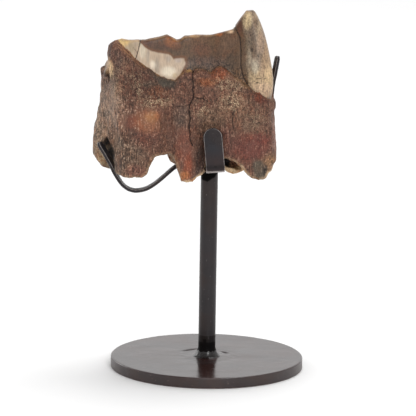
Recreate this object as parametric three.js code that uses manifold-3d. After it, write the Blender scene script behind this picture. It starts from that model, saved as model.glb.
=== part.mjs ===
// A fossil woolly rhinoceros molar, standing roots down on a steel display stand.
// Millimetres, +Z up. The origin is the centre of the underside of the stand's foot, and -Y is the front.
import * as THREE from "three";
import { mergeVertices } from "three/addons/utils/BufferGeometryUtils.js";
import Module from "manifold-3d";

// ---------- driving dimensions of the stand

const FOOT_RADIUS = 33.6;
const FOOT_HEIGHT = 4;
const FOOT_BEVEL = 0.4;
const POST_RADIUS = 3;
const POST_TOP = 73.4;
const WELD_SIZE = 1.9; // of the fillet round the post's foot
const WELD_EDGE = 0.15; // height of its outer edge
const WELD_STEPS = 6;
const FOOT_SIDES = 72;
const POST_SIDES = 32;
const TIP_STEPS = 6; // of a strip's round tip
const TIP_TURN = 0.93; // of a quarter circle, which leaves a short flat end
const PRONG_STEPS = 24;
const ARM_STEPS = 34;

const PRONG_THICKNESS = 1.3;
const PRONG_WIDTH = 6.5;
const ARM_THICKNESS = 1.2;
const ARM_WIDTH = 3;
const TURN_START = 18; // distance from an arm's tip where it begins to turn about its length
const TURN_END = 6; // and where it has turned by the whole angle
const LEFT_TURN = -0.44; // radians
const RIGHT_TURN = 0.35;
const GAP = 0.3; // between the tooth and the strips that hold it

const PRONG_FRONT = -17.75; // Y of the middle of the prong's upright
const PRONG_TIP = 89.7;
const PRONG_BEND = 2.2; // radius of its bend
const PRONG_FOOT_X = 2.24; // the upright leans from here at the bend
const PRONG_TIP_X = 0.68; // to here at the tip
const PRONG_BACK_X = -0.3; // where its level leg ends behind the post's axis
const PRONG_BACK = 3;
const PRONG_ROLL = 0.105; // slope across the prong at its bend, in the sense of its lean
const LEG_MIDDLE = POST_TOP + PRONG_THICKNESS / 2;
const ARM_START = POST_TOP + PRONG_THICKNESS + ARM_THICKNESS / 2; // height of the arms' middle where they lie on the leg

// The arms' middle lines, from the post to the tip.
const LEFT_ARM = [
  [-0.15, 0, ARM_START],
  [-2, 0, ARM_START],
  [-3.8, 0, ARM_START],
  [-7.6, -0.8, 74.5],
  [-12.1, -1.8, 72],
  [-16.4, -2.8, 68.4],
  [-19, -3.3, 66.3],
  [-21.8, -3.9, 64.7],
  [-24.2, -4.4, 64.1],
  [-26.2, -4.9, 64.1],
  [-28.3, -5.3, 64.8],
  [-30.1, -5.7, 66.2],
  [-31.7, -6, 68.4],
  [-33, -6.3, 70.8],
  [-34.5, -6.6, 74.2],
  [-36, -6.8, 77.1],
  [-38.8, -6.9, 81.6],
];
const RIGHT_ARM = [
  [0.15, 0, ARM_START],
  [2, 0, ARM_START],
  [3.8, 0.1, ARM_START],
  [7, 0.6, 74.1],
  [11, 1.6, 73.3],
  [15.5, 2.6, 73.3],
  [19.2, 3.2, 74.8],
  [21, 3.4, 78.5],
  [21.2, 3.5, 84],
  [21.2, 3.7, 93],
  [21.6, 3.9, 101],
  [22.2, 4, 105],
  [23.1, 4.1, 110.4],
];

// ---------- driving dimensions of the tooth, in a frame of its own
// x runs along the tooth, y from its front wall to its back, z up. The roots' tips are near z = 0.

const TOOTH_SCALE = 0.982; // of the sizes below
const TOOTH_PLACE = [-9.33, 0.98, 69.1];
const TOOTH_BOX = { low: [-36.5, -24.5, -2.5], high: [36, 27, 66] };
const CEMENT = 1.4; // thickness of the cement that sleeves the enamel
const CREST_WIDTH = 2.6; // from the front wall's face to the middle of its cutting edge
const CHEW_HEIGHT = 47; // of the worn surface behind the crest
const CEILING = 11.5; // height of the underside between the roots
const BACK_DEPTH = 19; // of the back wall behind the middle of the tooth
const BACK_LEAN = 0.24; // forwards, for each mm above BACK_LEAN_FROM
const BACK_LEAN_FROM = 20;
const RIGHT_TAPER = 0.2; // of the right wall towards the back, over TAPER_RUN
const TAPER_FROM = -9;
const TAPER_RUN = 10;
const CORNER_FROM = 5; // the y where the side walls start to round off towards the back
const CORNER_CURVES = { left: 0.022, right: 0.03 };
const NET_STEP = 2.2; // the size of the tooth's facets

// Outlines of the tooth, as places along one axis and the measure there.
const FRONT_FACE = smoothLine([
  [0, -16],
  [12, -17],
  [25, -17.2],
  [38, -16],
  [50, -14.2],
  [63, -12.5],
]);
// Its swellings (out above 0) and furrows (below 0): the middle's x at z = 0 and its lean, the half width,
// and the heights between which each one comes in and dies away.
const FRONT_FORMS = [
  { x: 3, half: 14, out: -2.6, rise: [33, 44] }, // the hollow upper wall
  { x: -24.5, half: 5, out: 2.4, rise: [12, 40] }, // the column at the left corner
  { x: 33.2, lean: -0.156, half: 6, out: 3.4, rise: [24, 42] }, // the ridge up to the tall corner
  { x: -14, half: 8, out: 1.5, fall: [28, 42] }, // the left root
  { x: 21, half: 8, out: 1, fall: [24, 36] }, // the right root
  { x: 1.2, half: 4.2, out: 2, fall: [14, 30] }, // the pillar between them
  { x: -5.2, half: 2.2, out: -1.4, rise: [4, 12], fall: [22, 36] }, // the furrow to its left
  { x: 9.3, half: 3.6, out: -2.2, fall: [16, 28] }, // the furrow to its right
];
const RIGHT_EDGE = smoothLine([
  [0, 30],
  [4, 30.7],
  [8, 33],
  [13, 33.2],
  [18.4, 32.7],
  [22.8, 31.6],
  [25.3, 31.5],
  [27.3, 32.5],
  [30, 32.5],
  [35, 33.2],
  [45, 32.3],
  [50.6, 31.1],
  [56.5, 29.4],
  [60.6, 27.7],
  [63, 26],
]);
const RIGHT_WALL = smoothLine([
  [0, 31],
  [12, 32.4],
  [30, 31.9],
  [45, 30.6],
  [56, 27.8],
  [63, 24.6],
]);
const LEFT_COLUMN = smoothLine([
  [0, -23.2],
  [7, -24.2],
  [15, -23.8],
  [30, -25.4],
  [42, -26.8],
  [48, -27.3],
  [52, -26.2],
]);
const LEFT_LOBE = smoothLine([
  [0, -27.5],
  [2.6, -29.2],
  [5.4, -31.3],
  [9.6, -32.3],
  [14, -31.8],
  [20, -30.8],
  [26, -29.7],
  [36, -29.2],
  [42, -27.8],
  [52, -25],
]);
const CREST = straightLine([
  [-30, 48.8],
  [-26.5, 49.6],
  [-25, 50.9],
  [-22.4, 51.7],
  [-19.5, 50.9],
  [-14, 51],
  [-6.3, 52.5],
  [-3, 50.6],
  [0, 52],
  [9, 52.7],
  [13, 53.7],
  [17, 55],
  [17.8, 56.4],
  [20, 60.2],
  [21.6, 62.4],
  [24, 63.4],
  [33, 63.4],
]);
const ROOT_RIM = straightLine([
  [-26, 7],
  [-23.8, 2.2],
  [-18, 1.7],
  [-14.6, 2],
  [-12.8, 3.4],
  [-10, 9.6],
  [-4.8, 12.2],
  [-3.2, 9],
  [-1.5, 4.2],
  [-0.7, 0.9],
  [3.9, 0.5],
  [7.6, 3.6],
  [9, 8.2],
  [15.5, 9.8],
  [18.5, 8.2],
  [22, 4.6],
  [24.4, 2.6],
  [28, 1.7],
  [31.2, 2],
  [32.9, 4.2],
  [34, 8],
]);
const CEMENT_EDGE = straightLine([
  [-33, 53],
  [-26.2, 53],
  [-22.6, 50.8],
  [-19, 47.2],
  [-14.8, 44.3],
  [-9.1, 40.6],
  [-2.6, 38.7],
  [1, 42.3],
  [8.9, 41],
  [12.2, 43.3],
  [18.5, 39.7],
  [25.9, 34],
  [27.7, 34.8],
  [36, 31.5],
]);

// The valley between the two cross crests, from its blind end to its mouth at the back.
const VALLEY = [
  [4.5, -4],
  [0.5, 0],
  [1.5, 7],
  [-0.5, 14],
  [-0.5, 26],
];
const VALLEY_HALF_WIDTH = 2.6;
const VALLEY_FLOOR = 31;
const CUSP = { x: 3, y: 6, rx: 2.6, ry: 3, rise: 1.9 }; // the small cusp beside the valley
const TALL_CORNER_RISE = 2.5; // of the chewing surface towards the tall corner
const CHEW_FALL = 0.1; // of the chewing surface towards the back, in mm for each mm
const PITS = [
  { x: -16.5, y: -1.5, rx: 5, ry: 3.6, floor: 37 },
  { x: 17.5, y: -2.5, rx: 4.4, ry: 2.8, floor: 39.5 },
];
const BACK_ROOTS = [
  { x: -25.5, y: 3.5, rx: 7.5, ry: 7, tip: 1.6 },
  { x: -11.5, y: 13.5, rx: 9, ry: 7.4, tip: 4.2 },
  { x: 15, y: 12.6, rx: 10, ry: 7.4, tip: 3.2 },
];
const INNER_ROOT = { x: -2.5, y: -9, rx: 2.6, ry: 2.4, tip: 5.2 };
const PULP_CAVITY = { x: 20, y: -11.6, rx: 8, ry: 3.9, top: 13 };
const PULP_WALL = { x: 18.2, y: -5.6, rx: 4.6, ry: 1.5, tip: 2.2 };
const LOBE_HOLLOW = { x: -28, y: -7, rx: 5.1, ry: 3.8, top: 19.5 };
const SEAT = { x: 9.5, y: -1, radius: 6.5, drop: 4.9 }; // the boss that the tooth rests on

// ---------- small functions

function ramp(t, low, high) {
  const s = Math.min(Math.max((t - low) / (high - low), 0), 1);
  return s * s * (3 - 2 * s);
}

function bump(t, halfWidth) {
  return Math.exp(-((t / halfWidth) ** 2));
}

function mix(a, b, share) {
  return a + (b - a) * share;
}

// The lesser of two values, with the corner between them rounded over k.
function softMin(a, b, k) {
  const h = Math.max(k - Math.abs(a - b), 0) / k;
  return Math.min(a, b) - (h * h * k) / 4;
}

function softMax(a, b, k) {
  return -softMin(-a, -b, k);
}

// The stretch of a list of points that holds t, and the share of the way along it.
function stretchAt(points, t) {
  const last = points.length - 2;
  let i = 0;
  while (i < last && t >= points[i + 1][0]) i++;
  const width = points[i + 1][0] - points[i][0];
  const share = Math.min(Math.max((t - points[i][0]) / width, 0), 1);
  return { i, width, share };
}

function straightLine(points) {
  return (t) => {
    const { i, share } = stretchAt(points, t);
    return mix(points[i][1], points[i + 1][1], share);
  };
}

function smoothLine(points) {
  const slopes = points.map((_, i) => {
    const a = points[Math.max(i - 1, 0)];
    const b = points[Math.min(i + 1, points.length - 1)];
    return (b[1] - a[1]) / (b[0] - a[0]);
  });
  return (t) => {
    const { i, width, share: s } = stretchAt(points, t);
    const [start, end] = [points[i][1], points[i + 1][1]];
    const level = (1 + 2 * s) * (1 - s) ** 2 * start + s * s * (3 - 2 * s) * end;
    return level + width * s * (1 - s) * ((1 - s) * slopes[i] - s * slopes[i + 1]);
  };
}

// How far (x, y) is outside an ellipse, near enough, in mm.
function ellipse(x, y, { x: cx, y: cy, rx, ry }, grow = 1) {
  const radius = Math.hypot((x - cx) / (rx * grow), (y - cy) / (ry * grow));
  return (radius - 1) * Math.min(rx, ry);
}

// ---------- the tooth's form: each function below gives a place or a height, and tooth() is negative inside

function cementCover(x, y, z) {
  const waves = 2.2 * Math.sin(x * 0.23 + 1) + 1.6 * Math.sin(x * 0.61 + y * 0.5);
  const behind = 35 + waves + Math.sin(y * 0.9 - x * 0.2);
  const edge = mix(CEMENT_EDGE(x), behind, ramp(y, -9.5, -5.5));
  return ramp(edge - z, 0, 1.7 - 1.1 * ramp(x, -4, 0));
}

function frontFace(x, z) {
  let y = FRONT_FACE(z);
  for (const { x: foot, lean = 0, half, out, rise, fall } of FRONT_FORMS) {
    const risen = rise ? ramp(z, ...rise) : 1;
    const left = fall ? 1 - ramp(z, ...fall) : 1;
    y -= out * bump(x - foot - lean * z, half) * risen * left;
  }
  return y;
}

function rightFace(y, z) {
  const x = mix(RIGHT_EDGE(z), RIGHT_WALL(z), ramp(y, -14, -6));
  const taper = RIGHT_TAPER * Math.min(Math.max(y - TAPER_FROM, 0), TAPER_RUN);
  return x - taper - CORNER_CURVES.right * Math.max(y - CORNER_FROM, 0) ** 2;
}

function leftFace(y, z) {
  const high = ramp(z, 30, 41);
  const lobe = ramp(y, -15 + 6 * high, -2.5 - 2 * high);
  const furrow = 1.8 * bump(y + 7, 2) * ramp(z, 26, 40);
  const shoulder = 1.2 * bump(y + 4, 4.5) * ramp(z, 37, 42);
  const x = mix(LEFT_COLUMN(z), LEFT_LOBE(z), lobe) + furrow + shoulder;
  return x + CORNER_CURVES.left * Math.max(y - CORNER_FROM, 0) ** 2;
}

function backFace(x, z) {
  const lean = BACK_LEAN * Math.max(z - BACK_LEAN_FROM, 0);
  const lobes = 2.6 * bump(x + 14, 8.5) + 3 * bump(x - 13, 9.5);
  const groove = 5.5 * bump(x + 0.5, 3.4) * ramp(z, 8, 34);
  return BACK_DEPTH - lean + lobes - groove;
}

function valleyDistance(x, y) {
  let nearest = Infinity;
  for (let i = 0; i + 1 < VALLEY.length; i++) {
    const [ax, ay] = VALLEY[i];
    const [dx, dy] = [VALLEY[i + 1][0] - ax, VALLEY[i + 1][1] - ay];
    const along = ((x - ax) * dx + (y - ay) * dy) / (dx * dx + dy * dy);
    const t = Math.min(Math.max(along, 0), 1);
    nearest = Math.min(nearest, Math.hypot(x - ax - t * dx, y - ay - t * dy));
  }
  return nearest;
}

function topHeight(x, y) {
  const crest = CREST(x);
  const behindCrest = y - frontFace(x, crest) - CREST_WIDTH;
  const cusp = CUSP.rise * bump(x - CUSP.x, CUSP.rx) * bump(y - CUSP.y, CUSP.ry);
  const rise = TALL_CORNER_RISE * ramp(x, 14, 26) * (1 - ramp(y, -4, 12));
  const chew = CHEW_HEIGHT - CHEW_FALL * y + cusp + rise;
  let z = mix(crest, chew, ramp(behindCrest, 0.6, 7.5));
  z = mix(VALLEY_FLOOR, z, ramp(valleyDistance(x, y) - VALLEY_HALF_WIDTH, -0.8, 1.2));
  for (const pit of PITS) z = mix(pit.floor, z, ramp(ellipse(x, y, pit), -0.8, 1.2));
  return z;
}

// A root: an upright column that widens upwards from its rounded tip.
function root(x, y, z, place, spread = 0.12) {
  const grow = 1 + spread * Math.min(Math.max((z - place.tip) / 10, 0), 1.5);
  return softMax(ellipse(x, y, place, grow), place.tip - z, 4);
}

function rootSpace(x, y, z) {
  const slope = (ROOT_RIM(x + 0.4) - ROOT_RIM(x - 0.4)) / 0.8;
  const aboveRim = (ROOT_RIM(x) - z) / Math.hypot(1, slope);
  let f = softMax(aboveRim, y + 8 - 1.5 * bump(x - 20, 6), 3);
  f = softMin(f, root(x, y, z, PULP_WALL, 0), 1);
  f = softMin(f, root(x, y, z, INNER_ROOT), 1.5);
  for (const place of BACK_ROOTS) f = softMin(f, root(x, y, z, place), 3);
  const seat = SEAT.drop * bump(Math.hypot(x - SEAT.x, y - SEAT.y), SEAT.radius);
  return softMin(f, CEILING + Math.sin(x * 0.3) - seat - z, 3);
}

function pulpCavity(x, y, z) {
  return softMax(ellipse(x, y, PULP_CAVITY), z - PULP_CAVITY.top, 4);
}

function lobeHollow(x, y, z) {
  const { x: cx, y: cy, rx, ry, top } = LOBE_HOLLOW;
  const reach = ry * Math.min(Math.max((top - z) / 10, 0), 1.1);
  return Math.hypot(((x - cx) * ry) / rx, y - cy) - reach;
}

function tooth(x, y, z) {
  let walls = softMax(frontFace(x, z) - y, y - backFace(x, z), 4);
  walls = softMax(walls, x - rightFace(y, z), 5);
  walls = softMax(walls, leftFace(y, z) - x, 5);
  const bare = CEMENT * (1 - cementCover(x, y, z));
  let f = softMax(walls + bare, z - topHeight(x, y), 1.6);
  f = softMax(f, rootSpace(x, y, z), 2);
  f = softMax(f, -lobeHollow(x, y, z), 1.5);
  return softMax(f, -pulpCavity(x, y, z), 1);
}

// ---------- a closed surface round the place where a field is negative

// Moves a point onto the surface where the field is zero, by no more than most.
function ontoSurface(field, point, most) {
  const eps = 0.05;
  const [x, y, z] = point;
  const slope = [
    (field(x + eps, y, z) - field(x - eps, y, z)) / (2 * eps),
    (field(x, y + eps, z) - field(x, y - eps, z)) / (2 * eps),
    (field(x, y, z + eps) - field(x, y, z - eps)) / (2 * eps),
  ];
  const steep = Math.max(slope[0] ** 2 + slope[1] ** 2 + slope[2] ** 2, 0.25);
  const move = slope.map((s) => (-field(x, y, z) * s) / steep);
  const scale = Math.min(1, most / Math.max(Math.hypot(...move), 1e-9));
  return point.map((p, i) => p + move[i] * scale);
}

// Surface nets: one vertex in each cell that the surface crosses, one quad on each crossed edge.
function netGeometry(field, { low, high }, step) {
  const count = low.map((l, i) => Math.ceil((high[i] - l) / step) + 1);
  const stride = [1, count[0], count[0] * count[1]];
  const at = (c) => c[0] * stride[0] + c[1] * stride[1] + c[2] * stride[2];
  const values = new Float64Array(count[0] * count[1] * count[2]);
  const eachCell = (size, visit) => {
    for (let k = 0; k < size[2]; k++)
      for (let j = 0; j < size[1]; j++) for (let i = 0; i < size[0]; i++) visit([i, j, k]);
  };
  eachCell(count, (c) => {
    values[at(c)] = field(...c.map((n, i) => low[i] + n * step));
  });

  const positions = [];
  const vertexOf = new Map();
  const cells = count.map((n) => n - 1);
  eachCell(cells, (cell) => {
    const sum = [0, 0, 0];
    let crossings = 0;
    for (let axis = 0; axis < 3; axis++)
      for (let corner = 0; corner < 8; corner++) {
        if (corner & (1 << axis)) continue;
        const start = cell.map((n, i) => n + ((corner >> i) & 1));
        const a = values[at(start)];
        const b = values[at(start) + stride[axis]];
        if (a < 0 === b < 0) continue;
        start[axis] += a / (a - b);
        start.forEach((n, i) => (sum[i] += n));
        crossings++;
      }
    if (!crossings) return;
    vertexOf.set(at(cell), positions.length / 3);
    let point = sum.map((s, i) => low[i] + (s / crossings) * step);
    for (let pass = 0; pass < 3; pass++) point = ontoSurface(field, point, step * 0.2);
    positions.push(...point);
  });

  const index = [];
  for (let axis = 0; axis < 3; axis++) {
    const [b, c] = [(axis + 1) % 3, (axis + 2) % 3];
    eachCell(cells, (cell) => {
      if (cell[b] < 1 || cell[c] < 1) return;
      const inside = values[at(cell)] < 0;
      if (inside === values[at(cell) + stride[axis]] < 0) return;
      const here = at(cell);
      const around = [here, here - stride[b], here - stride[b] - stride[c], here - stride[c]];
      const [p, q, r, s] = around.map((n) => vertexOf.get(n));
      index.push(...(inside ? [p, q, r, p, r, s] : [p, r, q, p, s, r]));
    });
  }
  const geometry = new THREE.BufferGeometry();
  geometry.setAttribute("position", new THREE.Float32BufferAttribute(positions, 3));
  geometry.setIndex(index);
  return geometry;
}

// ---------- the stand's forms

function footGeometry() {
  const profile = [
    [0, 0],
    [FOOT_RADIUS - FOOT_BEVEL, 0],
    [FOOT_RADIUS, FOOT_BEVEL],
    [FOOT_RADIUS, FOOT_HEIGHT - FOOT_BEVEL],
    [FOOT_RADIUS - FOOT_BEVEL, FOOT_HEIGHT],
    [0, FOOT_HEIGHT],
  ];
  return turned(profile, FOOT_SIDES);
}

function postGeometry() {
  const profile = [
    [0, FOOT_HEIGHT],
    [POST_RADIUS + WELD_SIZE, FOOT_HEIGHT],
  ];
  for (let i = 1; i <= WELD_STEPS; i++) {
    const turn = ((i / WELD_STEPS) * Math.PI) / 2;
    const radius = POST_RADIUS + WELD_SIZE * (1 - Math.sin(turn));
    profile.push([radius, FOOT_HEIGHT + WELD_EDGE + WELD_SIZE * (1 - Math.cos(turn))]);
  }
  profile.push([POST_RADIUS, POST_TOP], [0, POST_TOP]);
  return turned(profile, POST_SIDES);
}

// A round piece about the Z axis, from (radius, height) points that start and end on the axis.
function turned(profile, sides) {
  const points = profile.map(([radius, height]) => new THREE.Vector2(radius, height));
  return new THREE.LatheGeometry(points, sides).rotateX(Math.PI / 2);
}

// A flat strip along a path, with a round tip and grown by a margin all round.
// across(middle) gives the direction of its width where its middle line is.
function stripGeometry({ path, width, thickness, steps, across }, margin) {
  const halfWidth = width / 2;
  const halfThickness = thickness / 2 + margin;
  const tipShare = halfWidth / path.getLength();
  const stations = [];
  for (let i = 0; i <= steps; i++) stations.push({ t: (i / steps) * (1 - tipShare), half: halfWidth });
  for (let i = 1; i <= TIP_STEPS; i++) {
    const turn = ((i / TIP_STEPS) * TIP_TURN * Math.PI) / 2;
    stations.push({ t: 1 - tipShare * (1 - Math.sin(turn)), half: halfWidth * Math.cos(turn) });
  }
  const positions = [];
  for (const [i, { t, half }] of stations.entries()) {
    const middle = path.getPointAt(t);
    const tangent = path.getTangentAt(t);
    const side = across(middle);
    side.addScaledVector(tangent, -side.dot(tangent)).normalize();
    const normal = new THREE.Vector3().crossVectors(tangent, side);
    if (i === 0) middle.addScaledVector(tangent, -margin);
    if (i === stations.length - 1) middle.addScaledVector(tangent, margin);
    for (const [s, n] of [
      [-1, -1],
      [1, -1],
      [1, 1],
      [-1, 1],
    ]) {
      const corner = middle.clone().addScaledVector(side, s * (half + margin));
      positions.push(...corner.addScaledVector(normal, n * halfThickness));
    }
  }
  const index = [0, 2, 1, 0, 3, 2];
  const last = stations.length - 1;
  for (let ring = 0; ring < last; ring++)
    for (let side = 0; side < 4; side++) {
      const a = ring * 4 + side;
      const b = ring * 4 + ((side + 1) % 4);
      index.push(a, b, b + 4, a, b + 4, a + 4);
    }
  const end = last * 4;
  index.push(end, end + 1, end + 2, end, end + 2, end + 3);
  const geometry = new THREE.BufferGeometry();
  geometry.setAttribute("position", new THREE.Float32BufferAttribute(positions, 3));
  geometry.setIndex(index);
  return geometry;
}

// The prong's middle line: level from behind the post to the front, round the bend, up to the tip.
function prongPath() {
  const back = new THREE.Vector3(PRONG_BACK_X, PRONG_BACK, LEG_MIDDLE);
  const corner = new THREE.Vector3(PRONG_FOOT_X, PRONG_FRONT, LEG_MIDDLE);
  const tip = new THREE.Vector3(PRONG_TIP_X, PRONG_FRONT, PRONG_TIP);
  const towardsBack = back.clone().sub(corner).normalize();
  const upwards = tip.clone().sub(corner).normalize();
  const bendStart = corner.clone().addScaledVector(towardsBack, PRONG_BEND);
  const bendEnd = corner.clone().addScaledVector(upwards, PRONG_BEND);
  const path = new THREE.CurvePath();
  path.add(new THREE.LineCurve3(back, bendStart));
  path.add(new THREE.QuadraticBezierCurve3(bendStart, corner, bendEnd));
  path.add(new THREE.LineCurve3(bendEnd, tip));
  return path;
}

// Level over the post, and rolled a little at the bend.
function prongAcross(middle) {
  const share = Math.min(Math.max((middle.y + POST_RADIUS) / (PRONG_FRONT + POST_RADIUS), 0), 1);
  return new THREE.Vector3(1, 0, PRONG_ROLL * share);
}

function arm(points, turn) {
  const path = new THREE.CatmullRomCurve3(points.map((p) => new THREE.Vector3(...p)));
  const tip = new THREE.Vector3(...points.at(-1));
  const across = (middle) => {
    const share = (TURN_START - middle.distanceTo(tip)) / (TURN_START - TURN_END);
    const angle = turn * Math.min(Math.max(share, 0), 1);
    return new THREE.Vector3(-Math.sin(angle), Math.cos(angle), 0);
  };
  return { path, width: ARM_WIDTH, thickness: ARM_THICKNESS, steps: ARM_STEPS, across };
}

const STRIPS = {
  front_prong: {
    path: prongPath(),
    width: PRONG_WIDTH,
    thickness: PRONG_THICKNESS,
    steps: PRONG_STEPS,
    across: prongAcross,
  },
  left_arm: arm(LEFT_ARM, LEFT_TURN),
  right_arm: arm(RIGHT_ARM, RIGHT_TURN),
};

// ---------- joining and cutting

const wasm = await Module();
wasm.setup();

function solidOf(geometry) {
  const bare = geometry.clone();
  bare.deleteAttribute("normal");
  bare.deleteAttribute("uv");
  const merged = mergeVertices(bare);
  return new wasm.Manifold(
    new wasm.Mesh({
      numProp: 3,
      vertProperties: merged.attributes.position.array,
      triVerts: new Uint32Array(merged.index.array),
    }),
  );
}

function geometryOf(solid) {
  const mesh = solid.getMesh();
  const geometry = new THREE.BufferGeometry();
  geometry.setAttribute("position", new THREE.BufferAttribute(mesh.vertProperties, 3));
  geometry.setIndex(new THREE.BufferAttribute(mesh.triVerts, 1));
  return geometry;
}

// The tooth in its place, cut clear of the strips that hold it.
function toothGeometry() {
  const whole = netGeometry(tooth, TOOTH_BOX, NET_STEP);
  whole.scale(TOOTH_SCALE, TOOTH_SCALE, TOOTH_SCALE).translate(...TOOTH_PLACE);
  let solid = solidOf(whole);
  for (const strip of Object.values(STRIPS)) solid = solid.subtract(solidOf(stripGeometry(strip, GAP)));
  return geometryOf(solid);
}

// ---------- the object

const fossil = new THREE.MeshStandardMaterial({ color: "#6b4a3c", roughness: 0.6, metalness: 0 });
const footSteel = new THREE.MeshStandardMaterial({ color: "#4a4240", roughness: 0.35, metalness: 0.8 });
const darkSteel = new THREE.MeshStandardMaterial({ color: "#2c2828", roughness: 0.4, metalness: 0.8 });

function piece(name, geometry, material) {
  const mesh = new THREE.Mesh(geometry, material.clone());
  mesh.geometry.computeVertexNormals();
  mesh.name = name;
  return mesh;
}

const stand = new THREE.Group();
stand.add(piece("base_disc", footGeometry(), footSteel));
stand.add(piece("post", postGeometry(), darkSteel));
for (const [name, strip] of Object.entries(STRIPS))
  stand.add(piece(name, stripGeometry(strip, 0), darkSteel));

const model = new THREE.Group();
model.add(stand);
model.add(piece("tooth", toothGeometry(), fossil));

export default model;
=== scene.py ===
"""A fossil woolly rhinoceros molar on its steel display stand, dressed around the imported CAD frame.

Sizes are in millimetres, and what is multiplied by MM is in the frame's metres. The tooth's fine form is
worked out in a frame of its own: x along the tooth, y from its front wall to its back, z up from the roots'
tips. The stand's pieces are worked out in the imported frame's own axes.
"""

import math

import bpy
import numpy as np
from mathutils import Matrix, Vector
from mathutils.bvhtree import BVHTree


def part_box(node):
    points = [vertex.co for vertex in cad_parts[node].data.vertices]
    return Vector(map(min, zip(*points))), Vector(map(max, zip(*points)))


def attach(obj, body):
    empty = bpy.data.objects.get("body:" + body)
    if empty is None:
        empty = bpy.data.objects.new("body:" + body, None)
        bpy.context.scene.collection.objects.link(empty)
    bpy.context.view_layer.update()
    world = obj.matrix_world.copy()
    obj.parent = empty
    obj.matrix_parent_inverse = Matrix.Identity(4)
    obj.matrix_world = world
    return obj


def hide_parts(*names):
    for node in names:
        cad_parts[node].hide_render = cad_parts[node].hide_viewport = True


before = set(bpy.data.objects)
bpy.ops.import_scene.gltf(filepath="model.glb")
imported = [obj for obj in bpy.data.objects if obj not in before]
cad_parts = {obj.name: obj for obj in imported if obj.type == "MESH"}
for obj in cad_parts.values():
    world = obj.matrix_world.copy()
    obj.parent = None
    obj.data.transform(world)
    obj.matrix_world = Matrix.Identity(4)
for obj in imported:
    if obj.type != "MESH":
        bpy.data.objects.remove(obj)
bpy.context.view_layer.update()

MM = 0.001

# ---------- how the object is seen

IMAGE_SIDE = 416  # pixels
PIXEL = 0.3498 * MM  # seen at the object's middle
CAMERA_DISTANCE = 6.0  # metres
CAMERA_REACH = 20  # metres
CAMERA_ELEVATION = math.radians(13.02)
CAMERA_ROLL = math.radians(0.9)
CAMERA_TARGET = Vector((-0.322, 0, 57.05)) * MM
SENSOR = 36

# ---------- the tooth's place and sizes, the same as the CAD's

TOOTH_SCALE = 0.982
TOOTH_PLACE = np.array([-9.33, 0.98, 69.1])
TOOTH_LOW = np.array([-34.5, -22.5, -1.0])
TOOTH_HIGH = np.array([35.0, 25.0, 65.0])
NET_STEP = 0.49  # facets of the fine mesh
CEMENT = 1.4
CREST_WIDTH = 2.6
CHEW_HEIGHT = 47
CEILING = 11.5
BACK_DEPTH = 19
STRIP_CLEARANCE = 0.2  # between the tooth and the strips that hold it
JUST_PAST = 0.001 * MM  # how far past one crossing the next ray begins


# ---------- small functions


def ramp(t, low, high):
    s = np.clip((t - low) / (high - low), 0, 1)
    return s * s * (3 - 2 * s)


def fade(t, low, high):
    return 1 - ramp(t, low, high)


def bump(t, half_width):
    return np.exp(-((t / half_width) ** 2))


def mix(a, b, share):
    return a + (b - a) * share


def soft_min(a, b, k):
    """The lesser of two values, with the corner between them rounded over k."""
    h = np.maximum(k - np.abs(a - b), 0) / k
    return np.minimum(a, b) - h * h * k / 4


def soft_max(a, b, k):
    return -soft_min(-a, -b, k)


def straight_line(points):
    places, heights = np.array(points, float).T
    return lambda t: np.interp(t, places, heights)


def smooth_line(points):
    places, heights = np.array(points, float).T
    slopes = np.gradient(heights, places)

    def at(t):
        t = np.clip(t, places[0], places[-1])
        i = np.clip(np.searchsorted(places, t, side="right") - 1, 0, len(places) - 2)
        width = places[i + 1] - places[i]
        s = (t - places[i]) / width
        level = (1 + 2 * s) * (1 - s) ** 2 * heights[i] + s * s * (3 - 2 * s) * heights[i + 1]
        return level + width * s * (1 - s) * ((1 - s) * slopes[i] - s * slopes[i + 1])

    return at


def linear(code):
    """A colour written as #rrggbb, in linear light."""
    shares = np.array([int(code[i : i + 2], 16) for i in (1, 3, 5)]) / 255
    return np.where(shares <= 0.04045, shares / 12.92, ((shares + 0.055) / 1.055) ** 2.4)


def ragged_line(seed, spacing, height):
    """An uneven zigzag about 0, as a chipped edge has."""
    places = np.arange(-42, 43, spacing)
    places = places + np.random.default_rng(seed).uniform(-0.3, 0.3, len(places)) * spacing
    heights = np.random.default_rng(seed + 50).uniform(-height, height, len(places))
    return lambda t: np.interp(t, places, heights)


NOISE_TABLE = np.random.default_rng(7).uniform(-1, 1, (32, 32, 32))


def noise(points, size, shift=0):
    """Smooth noise from -1 to 1 at (n, 3) points, with lumps of the given size or sizes along x, y and z."""
    place = points / np.array(size) + shift * np.array([5.3, 9.1, 3.7])
    cell = np.floor(place).astype(int)
    part = place - cell
    part = part * part * (3 - 2 * part)
    total = np.zeros(len(points))
    for corner in np.ndindex(2, 2, 2):
        share = np.prod(np.where(corner, part, 1 - part), axis=1)
        i, j, k = ((cell + corner) % len(NOISE_TABLE)).T
        total += share * NOISE_TABLE[i, j, k]
    return total


def layered(points, size, shift=0, layers=3):
    """Noise with finer and weaker layers on top."""
    total = np.zeros(len(points))
    for i in range(layers):
        total += noise(points, np.array(size) / 2**i, shift + i) / 2**i
    return total / (2 - 2.0 ** (1 - layers))


# ---------- the tooth's form: outlines as places along one axis and the measure there

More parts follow.
